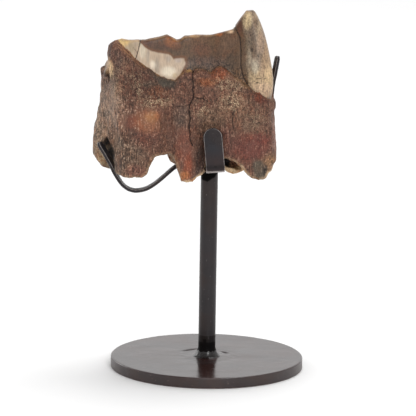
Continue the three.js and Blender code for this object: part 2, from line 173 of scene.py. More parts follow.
FRONT_FACE = smooth_line([(0, -16), (12, -17), (25, -17.2), (38, -16), (50, -14.2), (63, -12.5)])
RIGHT_EDGE = smooth_line([
    (0, 30.8), (4, 31.9), (6.5, 32.6), (8, 33.2), (13, 33.2), (18.4, 32.7), (22.8, 31.6), (25.3, 31.5),
    (27.3, 32.5), (30, 32.5), (35, 33.2), (45, 32.3), (50.6, 31.1), (56.5, 29.4), (60.6, 27.7), (63, 26),
])
RIGHT_WALL = smooth_line([(0, 31), (12, 32.4), (30, 31.9), (45, 30.6), (56, 27.8), (63, 24.6)])
LEFT_COLUMN = smooth_line([
    (0, -22.8), (7, -23.6), (15, -23.4), (30, -25.4), (42, -26.8), (48, -27.3), (52, -26.2),
])
LEFT_LOBE = smooth_line([
    (0, -27.5), (2.6, -29.2), (5.4, -31.3), (9.6, -32.3), (14, -31.8), (20, -30.8), (26, -29.7), (35, -29.4),
    (38.4, -29.5), (39.8, -28.1), (44, -27.6), (52, -25),
])
CREST = straight_line([
    (-30, 48.8), (-26.5, 49.6), (-25, 50.9), (-22.4, 51.7), (-19.5, 50.9), (-14, 51), (-11.4, 51.5),
    (-6.3, 52.5), (-4.5, 51.6), (-3, 50.6), (-1.7, 50.8), (0, 52), (3, 52.4), (9, 52.7), (13, 53.7),
    (17, 55), (17.8, 56.4), (20, 60.2), (21.6, 62.4), (24, 63.4), (33, 63.4),
])
ROOT_RIM = straight_line([
    (-26, 7), (-24.6, 4), (-23.8, 2.2), (-21.5, 1.9), (-18, 1.7), (-14.6, 2), (-12.8, 3.4), (-11.3, 6.8),
    (-10, 9.6), (-6.5, 11.5), (-4.8, 12.2), (-3.2, 9), (-1.5, 4.2), (-0.7, 0.9), (3.9, 0.5), (5.8, 2),
    (7.6, 3.6), (9, 8.2), (13, 9.2), (15.5, 9.8), (18.5, 8.2), (21, 6.2), (22, 4.6), (24.4, 2.6), (27, 1.6),
    (29.4, 1.7), (30.4, 3.1), (32, 3.6), (33, 5.4), (34, 8),
])
CEMENT_EDGE = straight_line([
    (-33, 53), (-26.2, 53), (-23.7, 51.2), (-21.9, 49.3), (-19.8, 47.3), (-17.3, 44.9), (-15.2, 42.9),
    (-12.7, 41.4), (-9.8, 39.7), (-7.6, 38.1), (-5.4, 37.4), (-3.3, 37.3), (-1.4, 38.9), (0, 40.6),
    (2.8, 40.8), (5.6, 40.7), (8.1, 40.1), (9.5, 39.8), (11.3, 41.5), (13.4, 41.8), (15.5, 40.7), (19, 38.5),
    (21.4, 37), (23.3, 35.5), (24.9, 34.1), (25.6, 33.6), (26.9, 33.8), (28.2, 32.6), (29.4, 31.4),
    (31.7, 30.4), (36, 30.2),
])
# The upper limit of the white enamel between the cement and the stained wall, and where it ends on the right.
WHITE_TOP = straight_line([
    (-24, 52.6), (-22.6, 52.4), (-20.2, 52), (-16.6, 51.6), (-15, 49.6), (-14.2, 48.7), (-12.1, 47.4),
    (-9.2, 46.7), (-5.7, 46.1), (-4.6, 45.4), (-4, 44.3), (-3.2, 44.5), (-1.5, 44.7), (1, 44.4),
])
WHITE_RIGHT = straight_line([(37.5, -2.8), (38.9, -1.4), (40.6, -0.4), (42.6, 0.5), (44, 0.1)])
# The right edge of the stained wall, where the pale ridge begins.
RIDGE_START = straight_line([
    (33, 23.8), (38, 22.4), (42.8, 21.6), (48.4, 21.7), (54, 21), (58.5, 20), (63, 20.6),
])

# Swellings and furrows of the front face: x at z = 0 and its lean, half width, how far out, and the heights
# between which each one comes in and dies away.
FRONT_FORMS = [
    dict(x=3, half=14, out=-2.6, rise=(33, 44)),
    dict(x=-24.5, half=5, out=2.4, rise=(12, 40)),
    dict(x=33.2, lean=-0.156, half=6, out=3.4, rise=(24, 42)),
    dict(x=-14, half=8, out=1.5, fall=(28, 42)),
    dict(x=21, half=8, out=1, fall=(24, 36)),
    dict(x=1.2, half=4.2, out=2, fall=(14, 30)),
    dict(x=-5.2, half=2.2, out=-1.4, rise=(4, 12), fall=(22, 36)),
    dict(x=9.3, half=3.6, out=-2.2, fall=(16, 28)),
]
VALLEY = np.array([(4.5, -4), (0.5, 0), (1.5, 7), (-0.5, 14), (-0.5, 26)])
VALLEY_HALF_WIDTH = 2.6
VALLEY_FLOOR = 31
PITS = [
    dict(x=-16.5, y=-1.5, rx=5, ry=3.6, floor=37),
    dict(x=17.5, y=-2.5, rx=4.4, ry=2.8, floor=39.5),
]
BACK_ROOTS = [
    dict(x=-25.5, y=3.5, rx=7.5, ry=7, tip=1.6),
    dict(x=-11.5, y=13.5, rx=9, ry=7.4, tip=4.2),
    dict(x=15, y=12.6, rx=10, ry=7.4, tip=3.2),
]
INNER_ROOT = dict(x=-2.5, y=-9, rx=2.6, ry=2.4, tip=5.2)
PULP_WALL = dict(x=18, y=-5.2, rx=4.4, ry=1.9, tip=0.7)
PULP_CAVITY = dict(x=20, y=-11.6, rx=8, ry=3.9)
PULP_TOP = 13
PULP_GAP = dict(x=16.4, y=-8, z=5.8, slope=0.55, rx=4.8, ry=3.4, rz=1.6)
LOBE_HOLLOW = dict(x=-26.2, y=-7.3, rx=3.4, ry=4.4, top=17.4)
SEAT = dict(x=9.5, y=-1, radius=6.5, drop=4.9)
RIM_WIDTH = 1.5  # of the enamel that stands up round the worn surface
BASIN_DEPTH = 1.0


def ellipse(x, y, place, grow=1):
    """How far (x, y) is outside an ellipse, near enough, in mm."""
    radius = np.hypot((x - place["x"]) / (place["rx"] * grow), (y - place["y"]) / (place["ry"] * grow))
    return (radius - 1) * min(place["rx"], place["ry"])


# Pairs of a coarse and a fine zigzag.
EDGE_CHIPS = (ragged_line(3, 1.7, 0.3), ragged_line(4, 0.7, 0.16))
CREST_CHIPS = (ragged_line(5, 2.3, 0.12), ragged_line(6, 0.9, 0.06))
ROOT_CHIPS = (ragged_line(8, 2.1, 0.22), ragged_line(9, 0.8, 0.1))


def chipped(lines, t):
    return sum(line(t) for line in lines)


def cement_edge(x, y):
    """The height up to which cement covers the enamel."""
    ragged = chipped(EDGE_CHIPS, x + 0.6 * y)
    behind = 35 + 2.2 * np.sin(x * 0.23 + 1) + 1.6 * np.sin(x * 0.61 + y * 0.5) + np.sin(y * 0.9 - x * 0.2)
    return mix(CEMENT_EDGE(x), behind, ramp(y, -9.5, -5.5)) + ragged


def front_face(x, z):
    y = FRONT_FACE(z)
    for form in FRONT_FORMS:
        risen = ramp(z, *form["rise"]) if "rise" in form else 1
        left = fade(z, *form["fall"]) if "fall" in form else 1
        middle = form["x"] + form.get("lean", 0) * z
        y = y - form["out"] * bump(x - middle, form["half"]) * risen * left
    return y


def right_face(y, z):
    x = mix(RIGHT_EDGE(z), RIGHT_WALL(z), ramp(y, -14, -6))
    return x - 0.2 * np.clip(y + 9, 0, 10) - 0.03 * np.maximum(y - 5, 0) ** 2


def left_face(y, z):
    high = ramp(z, 30, 41)
    lobe = ramp(y, -15 + 6 * high, -2.5 - 2 * high)
    furrow = 1.8 * bump(y + 7, 2) * ramp(z, 26, 40)
    shoulder = 1.2 * bump(y + 4, 4.5) * ramp(z, 37, 42)
    x = mix(LEFT_COLUMN(z), LEFT_LOBE(z), lobe) + furrow + shoulder
    return x + 0.022 * np.maximum(y - 5, 0) ** 2


def back_face(x, z):
    lean = 0.24 * np.maximum(z - 20, 0)
    lobes = 2.6 * bump(x + 14, 8.5) + 3 * bump(x - 13, 9.5)
    groove = 5.5 * bump(x + 0.5, 3.4) * ramp(z, 8, 34)
    return BACK_DEPTH - lean + lobes - groove


def walls(x, y, z):
    """Distance outside the upright faces, with the cement on."""
    f = soft_max(front_face(x, z) - y, y - back_face(x, z), 4)
    f = soft_max(f, x - right_face(y, z), 5)
    return soft_max(f, left_face(y, z) - x, 5)


def valley_distance(x, y):
    nearest = np.full(np.broadcast(x, y).shape, np.inf)
    for start, end in zip(VALLEY[:-1], VALLEY[1:]):
        run = end - start
        t = np.clip(((x - start[0]) * run[0] + (y - start[1]) * run[1]) / (run @ run), 0, 1)
        nearest = np.minimum(nearest, np.hypot(x - start[0] - t * run[0], y - start[1] - t * run[1]))
    return nearest - VALLEY_HALF_WIDTH


def behind_crest(x, y):
    return y - front_face(x, CREST(x)) - CREST_WIDTH


def rim_distance(x, y, z):
    """Distance on the worn surface from the nearest edge of its enamel."""
    inside = np.minimum(-walls(x, y, z) - CEMENT, valley_distance(x, y))
    for pit in PITS:
        inside = np.minimum(inside, ellipse(x, y, pit))
    return inside


def top_height(x, y, rim):
    crest = CREST(x) + chipped(CREST_CHIPS, x)
    cusp = 1.9 * bump(x - 3, 2.6) * bump(y - 6, 3)
    rise = 2.5 * ramp(x, 14, 26) * fade(y, -4, 12)
    basin = BASIN_DEPTH * ramp(rim, RIM_WIDTH * 0.7, RIM_WIDTH * 1.7) * ramp(behind_crest(x, y), 1, 6)
    chew = CHEW_HEIGHT - 0.1 * y + cusp + rise - basin
    z = mix(crest, chew, ramp(behind_crest(x, y), 0.6, 7.5))
    z = mix(VALLEY_FLOOR, z, ramp(valley_distance(x, y), -0.8, 1.2))
    for pit in PITS:
        z = mix(pit["floor"], z, ramp(ellipse(x, y, pit), -0.8, 1.2))
    return z


def root(x, y, z, place, spread=0.12):
    grow = 1 + spread * np.clip((z - place["tip"]) / 10, 0, 1.5)
    return soft_max(ellipse(x, y, place, grow), place["tip"] - z, 4)


def root_space(x, y, z):
    slope = (ROOT_RIM(x + 0.4) - ROOT_RIM(x - 0.4)) / 0.8
    above_rim = (ROOT_RIM(x) + chipped(ROOT_CHIPS, x) - z) / np.hypot(1, slope)
    f = soft_max(above_rim, y + 8 - 1.5 * bump(x - 20, 6), 3)
    f = soft_min(f, root(x, y, z, PULP_WALL, 0), 1)
    f = soft_min(f, root(x, y, z, INNER_ROOT), 1.5)
    for place in BACK_ROOTS:
        f = soft_min(f, root(x, y, z, place), 3)
    seat = SEAT["drop"] * bump(np.hypot(x - SEAT["x"], y - SEAT["y"]), SEAT["radius"])
    return soft_min(f, CEILING + np.sin(x * 0.3) - seat - z, 3)


def lobe_hollow(x, y, z):
    hole = LOBE_HOLLOW
    reach = hole["ry"] * np.clip((hole["top"] - z) / 8, 0, 1.1)
    return np.hypot((x - hole["x"]) * hole["ry"] / hole["rx"], y - hole["y"]) - reach


def pulp_cavity(x, y, z):
    return soft_max(ellipse(x, y, PULP_CAVITY), z - PULP_TOP, 4)


def pulp_gap(x, y, z):
    gap = PULP_GAP
    along, across = (x - gap["x"]) / gap["rx"], (y - gap["y"]) / gap["ry"]
    ragged = 0.5 * bump(x - 15.2, 1) - 0.5 * bump(x - 18.2, 1.2)
    up = (z - gap["z"] + ragged + gap["slope"] * (x - gap["x"])) / gap["rz"]
    return (np.sqrt(along**2 + across**2 + up**2) - 1) * gap["rz"]


def tooth_field(x, y, z):
    """Negative inside the tooth."""
    cover = ramp(cement_edge(x, y) - z, 0, 1.7 - 1.1 * ramp(x, -4, 0))
    f = soft_max(walls(x, y, z) + CEMENT * (1 - cover), z - top_height(x, y, rim_distance(x, y, z)), 1.2)
    f = soft_max(f, root_space(x, y, z), 1.4)
    f = soft_max(f, -lobe_hollow(x, y, z), 1.5)
    f = soft_max(f, -pulp_cavity(x, y, z), 0.8)
    return soft_max(f, -pulp_gap(x, y, z), 0.6)


# ---------- cracks: lines on the front wall, as (z, x) from the bottom up

CRACKS = {
    "main": [
        (14.3, 3.6), (16.5, 2.5), (19, 2.5), (21, 2), (24.2, 2.4), (26, 1.9), (28.7, 2), (30.2, 2.8),
        (31.9, 3.5), (34, 3.1), (36.7, 3.3), (38.6, 2.9), (40.5, 3.1),
    ],
    "ridge": [(36.5, 22.4), (39, 20.8), (42.8, 19.9), (48.4, 19.9), (52.6, 19.5), (54.4, 18.6), (56.2, 17.7)],
    "white": [(44.6, -17.2), (48, -16.3), (51, -15.7)],
    "right": [(20.2, 17.7), (23.8, 17.3), (26.8, 17.1)],
    "corner": [(17, 29.8), (20.3, 29.7)],
    "middle": [(29.4, 23.1), (33, 23)],
}
# The ones that run across the wall, as (x, z) from left to right.
BRANCHES = {
    "right_branch": [(3.3, 31.9), (5.4, 31), (6.6, 31.2), (8.4, 30.4)],
    "left_branch": [(-4.4, 27.2), (-2, 28.4), (0, 28.3), (2.3, 29.2)],
    "fork": [(-18.3, 48.8), (-17.4, 47.4), (-16.7, 46.6)],
}


def crack_place(x, y, z, name):
    """Signed distance across a crack, and how far past one of its ends or off the front face a point is."""
    line = np.array(CRACKS[name] if name in CRACKS else BRANCHES[name], float)
    along, beside = (z, x) if name in CRACKS else (x, z)
    across = beside - np.interp(along, line[:, 0], line[:, 1])
    past = np.maximum(line[0, 0] - along, 0) + np.maximum(along - line[-1, 0], 0) + np.maximum(y + 8, 0)
    return across, past


# The vertex marks that carry the cracks, three in each: half width of the dark line, and depth.
CRACK_MARKS = {
    "cracks": dict(main=(0.15, 0.5), ridge=(0.12, 0.3), white=(0.1, 0.25)),
    "hairs": dict(right=(0.08, 0.25), corner=(0.08, 0.25), middle=(0.08, 0.25)),
    "branches": dict(right_branch=(0.1, 0.3), left_branch=(0.04, 0.15), fork=(0.05, 0.15)),
}
CRACK_HALF_WIDTH = 0.3  # of the furrow in the mesh

# ---------- the fine mesh


def surface_net(field, low, high, step):
    """A closed quad mesh round the place where the field is negative: (vertices, quads)."""
    count = np.ceil((high - low) / step).astype(int) + 1
    axes = [low[i] + step * np.arange(count[i]) for i in range(3)]
    values = field(*np.meshgrid(*axes, indexing="ij"))
    inside = values < 0
    corners = list(np.ndindex(2, 2, 2))
    filled = np.zeros(count - 1, int)
    for corner in corners:
        filled += inside[tuple(slice(c, n - 1 + c) for c, n in zip(corner, count))]
    cells = np.argwhere((filled > 0) & (filled < len(corners)))
    vertex_of = np.full(count, -1)
    vertex_of[tuple(cells.T)] = np.arange(len(cells))
    total = np.zeros((len(cells), 3))
    crossings = np.zeros((len(cells), 1))
    quads = []
    for axis, along in enumerate(np.eye(3, dtype=int)):
        for corner in corners:
            if corner[axis]:
                continue
            start = cells + corner
            a = values[tuple(start.T)][:, None]
            b = values[tuple((start + along).T)][:, None]
            crossed = (a < 0) != (b < 0)
            total += np.where(crossed, start + a / np.where(crossed, a - b, 1) * along, 0)
            crossings += crossed
        starts = np.argwhere(np.diff(inside, axis=axis))
        b = np.roll(along, 1)
        c = np.roll(along, 2)
        quad = np.stack([vertex_of[tuple((starts - shift).T)] for shift in (0 * b, b, b + c, c)], 1)
        inward = ~inside[tuple(starts.T)]
        quad[inward] = quad[inward][:, ::-1]
        quads.append(quad)
    return total / crossings * step + low, np.concatenate(quads)


def field_slope(field, points, reach=0.05):
    slopes = []
    for axis in np.eye(3):
        ahead = field(*(points + reach * axis).T)
        slopes.append((ahead - field(*(points - reach * axis).T)) / (2 * reach))
    return np.stack(slopes, 1)


def onto_surface(field, points, most, passes=2):
    for _ in range(passes):
        slope = field_slope(field, points)
        steep = np.maximum((slope**2).sum(1), 0.25)
        move = field(*points.T)[:, None] * slope / steep[:, None]
        length = np.linalg.norm(move, axis=1, keepdims=True)
        points = points - move * np.minimum(1, most / np.maximum(length, 1e-9))
    return points


def spot(x, z, spot_x, spot_z, half_x, half_z):
    """How far a point of the front is from a place on it, in half widths."""
    return np.hypot((x - spot_x) / half_x, (z - spot_z) / half_z)


def zone(x, z, spots):
    """The sum of soft spots, each given by its x, z, half widths and strength."""
    return sum(strength * bump(spot(x, z, *place), 1) for *place, strength in spots)


# Small dents and lumps of the front: x, z, half widths, how far out.
FRONT_DENTS = [
    (13.4, 40.6, 2.2, 1.4, 0.5), (27.2, 5.6, 1.9, 3.6, -0.7), (31.2, 6.4, 1.9, 2.8, -0.5),
    (-27.4, 37, 1.2, 1.1, -1.2), (-8, 39.3, 6, 1.2, -0.35), (-11.5, 24.5, 5, 5, 0.5),
    (-16, 45.5, 1, 2, -0.15), (4.5, 1.8, 2.4, 1, -0.6),
]


def relief(points, cover):
    """How far the surface stands out at each point, in mm: cement like bark, enamel nearly smooth."""
    x, y, z = points.T
    fibres = layered(points, (1.5, 1.5, 7), 1)
    lumps = layered(points, (5, 5, 6), 2)
    knots = layered(points, (1.9, 1.9, 2.1), 3, 2)
    lines = noise(points, (2.6, 2.6, 14), 4)
    left = fade(x, -26, -12)
    bark = (0.2 + 0.18 * left) * fibres + 0.32 * lumps + 0.3 * knots
    enamel = 0.07 * lines + 0.1 * lumps
    out = mix(enamel, bark, cover)
    front = fade(y, -8, -3)
    out += front * zone(x, z, FRONT_DENTS)
    for cracks in CRACK_MARKS.values():
        for name, (_, depth) in cracks.items():
            across, past = crack_place(x, y, z, name)
            out -= depth * bump(np.abs(across) + past, CRACK_HALF_WIDTH)
    return out


def is_inside(tree, point):
    """Whether a point is inside a closed mesh, by counting how often a line straight up from it crosses."""
    up = Vector((0, 0, 1))
    crossings = 0
    place = tree.ray_cast(Vector(point), up)[0]
    while place is not None:
        crossings += 1
        place = tree.ray_cast(place + up * JUST_PAST, up)[0]
    return crossings % 2 == 1


def clear_of(points, names, gap):
    """Moves points that are in these CAD nodes, or nearer to them than gap, out to the gap."""
    for name in names:
        tree = BVHTree.FromObject(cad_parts[name], bpy.context.evaluated_depsgraph_get())
        low, high = (np.array(corner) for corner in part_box(name))
        near = np.all((points > low - gap) & (points < high + gap), axis=1)
        for i in np.flatnonzero(near):
            place, normal, _, distance = tree.find_nearest(Vector(points[i]))
            within = is_inside(tree, points[i])
            if within or distance < gap:
                away = (Vector(points[i]) - place) * (-1 if within else 1)
                points[i] = place + (away.normalized() if distance > gap / 20 else normal) * gap
    return points


# ---------- broad colours of the tooth, as soft patches on its front: x, z, half widths, colour, share

CEMENT_PATCHES = [
    (-30, 22, 4, 17, "#978069", 0.95), (-27, 27, 3.6, 12, "#937c6a", 0.9), (-28, 36, 3, 5, "#6f564b", 0.8),
    (-29, 9, 4, 8, "#87725f", 0.85), (-27.4, 4.4, 1.3, 1.3, "#c99a5c", 0.9), (-20, 9, 8, 9, "#695647", 0.8),
    (-16.8, 4, 4, 3, "#7a4f42", 0.8), (-25, 45, 4, 5, "#5d463d", 0.8), (-25, 38, 2.4, 5, "#5d5145", 0.6),
    (-18.4, 22.4, 4, 2.6, "#764534", 0.7), (-13, 17, 6, 4, "#6c4539", 0.7),
    (-12.8, 23.2, 5, 5, "#8b5c41", 1), (-11.4, 24.6, 2.6, 2.3, "#a5744a", 0.8),
    (-10, 32, 6, 3.4, "#543424", 0.8), (-27, 41.2, 1.8, 3.8, "#cfb48c", 1),
    (-24.6, 28, 2, 9, "#a08875", 0.8), (-22.2, 25, 2.4, 6, "#8a6c5a", 0.7),
    (-23.6, 14.5, 2.4, 5, "#7d6653", 0.7), (-15, 37, 8, 6, "#4f2f22", 0.85),
    (-9, 36, 6, 1.6, "#4e4136", 0.8), (-9, 33.5, 4, 2.4, "#6b422b", 0.8),
    (-4.5, 35.6, 3, 1.6, "#3d2d24", 0.8), (-0.8, 25, 4, 5, "#5f4b40", 0.9), (-2.5, 16, 3, 5, "#6f5044", 0.6),
    (0.3, 13, 3.4, 7, "#7b4b3b", 0.9), (1.8, 6, 1.8, 6, "#8a4a31", 0.9), (0.8, 3.4, 2, 1.8, "#a3663a", 0.9),
    (6, 9, 2, 8, "#42302a", 0.9), (8, 36.8, 4, 1.6, "#7d4a2a", 0.9), (12.4, 39.4, 3.4, 2.4, "#824527", 0.9),
    (18, 37, 2.6, 2, "#6a5140", 0.8), (22, 37, 2.4, 2.4, "#7b5e3e", 0.8), (18, 29, 7, 6, "#745643", 0.8),
    (10, 23, 6, 6, "#6b5341", 0.8), (27.6, 32, 3.4, 2.4, "#5a2a1c", 0.9),
    (26.4, 32.4, 1.3, 1.8, "#7c3b20", 0.7), (29, 26, 4, 4, "#6b4a3a", 0.7), (14.5, 15, 4, 7, "#67433a", 0.8),
    (24, 14, 8, 6, "#6b3d33", 1), (32.8, 19, 1.5, 8, "#96766a", 0.85), (18, 2.4, 4.4, 2.6, "#c9a678", 1),
    (18.8, 5.6, 2.2, 1.6, "#7e4a28", 1), (27.8, 17, 4.4, 2, "#6b352b", 0.8),
    (24, 23, 6, 4, "#6b5140", 0.7), (30.8, 8, 3.4, 4, "#84684f", 0.8), (31.2, 8.6, 2, 2.2, "#8c6b4c", 0.8),
    (31.4, 5.2, 1.6, 1.6, "#8f6f4f", 0.8), (26.8, 7.2, 2.3, 2.4, "#564c3f", 0.95),
    (27.4, 4.4, 2.3, 2.6, "#564c3f", 0.95), (26.8, 7.2, 1.9, 2, "#564c3f", 0.95),
    (27.4, 4.4, 1.9, 2.2, "#564c3f", 0.95), (29.5, 5, 0.7, 2.6, "#241914", 0.95),
    (-27.4, 36.8, 1.1, 1, "#3a2418", 0.85),
]
WHITE_PATCHES = [
    (-22, 51, 3.6, 2.2, "#c9a96f", 0.9), (-18.8, 48.6, 1.6, 2.4, "#9c8b72", 0.8),
    (-16, 50.4, 1, 1.6, "#a08f78", 0.7), (-15, 46.8, 1.2, 2.6, "#cbbda6", 0.8),
    (-13, 44.6, 0.7, 2.6, "#9f9180", 0.8), (-9.8, 42.4, 0.6, 2.6, "#8f8272", 0.8),
    (-11.4, 42.4, 1, 1.6, "#d6c8b2", 0.8), (-5.4, 40, 3, 2, "#d9ccb6", 0.9),
    (-5.6, 44.2, 1.2, 1.6, "#9b8f82", 0.7), (-2.2, 43.8, 1.8, 1.2, "#a3948a", 0.8),
    (-3.4, 39, 0.9, 1.2, "#b9a27e", 0.6),
]
ENAMEL_PATCHES = [
    (8, 43.3, 9, 2.6, "#52433a", 0.9), (17, 44.5, 3.4, 4, "#4f4134", 0.85),
    (20.6, 45, 1.6, 9, "#62503f", 0.85), (16, 51, 4, 4, "#66503f", 0.8), (6, 47.5, 4, 3, "#624433", 0.8),
    (13, 47, 3, 3, "#5c4636", 0.7), (-9, 48.5, 6, 2.2, "#4c3524", 0.9), (-11, 50.6, 4, 1.6, "#57402e", 0.7),
    (-4.6, 50.8, 3, 2.6, "#89552f", 0.9), (-2.8, 48.6, 2, 1.6, "#6d4427", 0.7),
    (-14, 50, 3, 1.2, "#57382a", 0.8), (4, 51, 6, 2, "#684d38", 0.6), (19.3, 57, 1.3, 3.6, "#5a3a28", 0.95),
    (15.6, 54.6, 2, 0.9, "#cdb699", 1), (12, 53.4, 1.8, 0.9, "#93562c", 0.9),
    (3, 52.6, 2.4, 0.8, "#b0926c", 0.9), (-27.2, 42.5, 1.6, 4.5, "#c4a67c", 0.95),
]
RIDGE_PATCHES = [
    (26, 38.5, 5.6, 5, "#a28b6c", 1), (28.9, 47, 2.4, 14, "#9b8166", 1),
    (26.4, 56, 1.6, 5, "#9f8b73", 0.9), (21.9, 59.6, 2.2, 3.6, "#b39c78", 1),
    (25, 60, 1.1, 4.2, "#745f4c", 1), (23, 63, 2.4, 1, "#6d543c", 0.8), (19.4, 57, 1.1, 3, "#4b3222", 1),
    (23.6, 53, 1.6, 4.4, "#5d4d3f", 0.9), (24.2, 48.6, 1.6, 3.4, "#6b5746", 0.9),
    (26.4, 46.8, 1.4, 2.4, "#6c5c4c", 0.8), (21.6, 49.5, 1.3, 6, "#70604b", 0.9),
    (21.8, 42, 1.6, 5, "#877560", 0.9), (30, 38, 2.2, 6, "#b49a77", 0.9),
    (23.6, 36.4, 2.4, 1.6, "#a98f72", 0.9), (28.4, 34.6, 3.6, 3, "#b89b7f", 0.9),
    (22.6, 46, 1.4, 3, "#8b7d6a", 0.8), (25, 43, 1.6, 3, "#a89c88", 0.8), (27.6, 52, 0.9, 5, "#8d7a6c", 0.7),
    (28.2, 58, 0.8, 3, "#a2897c", 0.7), (22.9, 51.5, 1.2, 2, "#6a5b4c", 0.7),
    (25.8, 61, 2.2, 1.6, "#a08c74", 0.8), (26.6, 52, 1.2, 4, "#957d68", 0.7),
]
# Dark marks on the ridge: x, z, half widths.
RIDGE_MARKS = [
    (23.4, 54.2, 0.3, 0.5), (24, 49.2, 0.4, 0.8), (26, 47, 0.3, 0.4), (22.9, 51.6, 0.2, 0.9),
    (23.9, 56.6, 0.2, 0.6), (24.2, 39.6, 0.8, 0.16), (26.4, 39, 0.9, 0.16), (28.6, 38.8, 0.6, 0.2),
    (26, 37.4, 0.7, 0.18), (24.6, 37.9, 0.5, 0.16), (27.5, 36.9, 0.6, 0.16), (22.3, 45.2, 0.14, 1.4),
    (25.2, 44.4, 0.14, 1),
]
# Each kind of surface: its colour on the front, its paler colour behind, and its patches.
SURFACES = {
    "cement_colour": ("#684738", "#7d6353", CEMENT_PATCHES),
    "enamel_colour": ("#57432f", "#87705a", ENAMEL_PATCHES),
    "ridge_colour": ("#7a6757", "#a08b70", RIDGE_PATCHES),
    "white_colour": ("#b19b84", "#b19b84", WHITE_PATCHES),
}
LEFT_SIDE = -23  # patches left of here go on round the tooth's side
# Where the roots' broken ends are pale and fresh: x, z, half widths, strength.
FRESH_BREAKS = [
    (4, 1.5, 4, 2.5, 1), (18.5, 4.4, 4, 3, 1), (-27.5, 6, 3, 2.5, 1), (31, 6, 2.5, 3.5, 1), (10, 9, 3, 2, 1),
]
# Where pale flecks lie close together, and where the cement is worn smooth: x, z, half widths, strength.
FLECKED = [
    (-17.5, 38.2, 2, 2.4, 0.4), (-16, 34, 1.8, 3, 0.45), (-11, 29.6, 4, 1.5, 1), (-7, 30.6, 2.6, 1.4, 0.8),
    (14.2, 36.6, 2.6, 2, 1), (16.8, 30, 3.4, 2.6, 1.4), (19, 35.8, 1.6, 3, 0.5), (6.5, 27.2, 3, 2, 0.8),
    (25, 24, 5, 5, 0.25), (-24, 33, 2.4, 5, 0.4), (-22, 42, 2, 3, 0.3),
]
SMOOTH = [
    (-12.8, 24, 6, 4.4, 1), (-19.5, 22.4, 4, 2.4, 0.7), (1.5, 9, 3.6, 8, 0.7), (24, 14, 8, 6, 0.55),
    (-3, 19, 4, 4, 0.5), (27.2, 5.8, 2.2, 3.2, 0.8),
]


def patched(points, base, behind, patches):
    x, y, z = points.T
    wander = 1.2 * noise(points, 4, 11)
    shown = fade(y, -7, 3)
    paler = 0.8 * (1 - shown) * ramp(layered(points, (9, 9, 12), 19, 2), -0.3, 0.6)
    colours = mix(linear(base), linear(behind), paler[:, None])
    for *place, code, share in patches:
        radius = spot(x, z, *place) + 0.25 * wander / min(place[2:])
        weight = share * fade(radius, 0.45, 1.25) * (1 if place[0] < LEFT_SIDE else shown)
        colours = mix(colours, linear(code), weight[:, None])
    return colours


def tooth_marks(points, normals):
    """What the tooth's material needs to know at each vertex, as three numbers each."""
    x, y, z = points.T
    front = fade(y, -9, -6)
    edge = cement_edge(x, y) - z
    white = np.minimum.reduce([WHITE_TOP(x) - z, WHITE_RIGHT(z) - x, 0.6 - edge, -6 - y])
    below_crest = CREST(x) - z + np.maximum(behind_crest(x, y), 0)
    ridge_mark = np.minimum.reduce([spot(x, z, *place) for place in RIDGE_MARKS]) + np.maximum(y + 8, 0)
    # painted shade: how far a point is from the lobe's hollow and from the gap in the pulp wall, where shade
    # is painted in
    above_hollow = np.maximum(z - LOBE_HOLLOW["top"] + 6, 0)
    in_lobe = lobe_hollow(x, y, z) + 0.3 * above_hollow + 0.6 * ramp(-x, 26, 28.5)
    in_gap = 4 * pulp_gap(x, y, z) - 0.6 + 2.2 * ramp(x, 15, 17.2)
    fibres = 0.35 + 0.65 * fade(x, -24, -8) * fade(z, 26, 40) + 0.35 * ramp(y, -6, 2)
    smooth = np.minimum(zone(x, z, SMOOTH), 1) * fade(y, -10, -6)
    past_rim = ramp(rim_distance(x, y, z), RIM_WIDTH * 0.8, RIM_WIDTH * 1.3)
    worn = past_rim * ramp(normals[:, 2], 0.35, 0.7) * ramp(z, 40, 44)
    fresh = np.clip(0.3 + zone(x, z, FRESH_BREAKS), 0, 1)
    ragged = 1.2 * layered(points, (2.6, 2.6, 3), 23, 2) * ramp(y, -8, -3)
    low_end = fade(-np.minimum(root_space(x, y, z), 0) - ragged, 0.45, 1.5)
    broken = fresh * low_end * fade(z, 10, 14) * (1 - 0.5 * ramp(y, -6, 0))
    broken *= ramp(pulp_gap(x, y, z), 0.05, 0.45)
    # painted highlight: where the cement's lip and the crest are lit from above, near x 3 and x -22
    lip_highlight = np.clip(0.25 + bump(x - 3, 4) + 0.6 * bump(x + 22, 5), 0, 1)
    marks = {
        "regions": (edge, white, x - RIDGE_START(z)),
        "edges": (below_crest, np.minimum(ridge_mark, 9), np.minimum(in_lobe, in_gap)),
        "texture": (zone(x, z, FLECKED), fibres, smooth),
        # the third: where shade is painted inside the pulp cavity
        "worn": (worn, broken, fade(pulp_cavity(x, y, z), 0.1, 0.6)),
        "lip": (lip_highlight, bump(x + 7.5, 5) * front, bump(x + 20.5, 5) * front),
    }
    for mark, cracks in CRACK_MARKS.items():
        places = [crack_place(x, y, z, name) for name in cracks]
        marks[mark + "_across"], marks[mark + "_past"] = zip(*places)
    colours = {name: patched(points, *surface) for name, surface in SURFACES.items()}
    return {name: np.stack(parts, 1) for name, parts in marks.items()} | colours


def new_object(name, data):
    thing = bpy.data.objects.new(name, data)
    bpy.context.scene.collection.objects.link(thing)
    return thing


def new_piece(name, vertices, faces, material, node, marks):
    """A smooth-shaded mesh in metres with the given material, that stands for a CAD node: it hides the node
    and hangs on the root body.
    """
    mesh = bpy.data.meshes.new(name)
    mesh.from_pydata(np.asarray(vertices).tolist(), [], [list(map(int, face)) for face in faces])
    mesh.shade_smooth()
    mesh.materials.append(material)
    for mark, values in marks.items():
        attribute = mesh.attributes.new(mark, "FLOAT_VECTOR", "POINT")
        attribute.data.foreach_set("vector", np.ascontiguousarray(values, np.float32).ravel())
    piece = new_object(name, mesh)
    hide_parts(node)
    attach(piece, "root")
    return piece


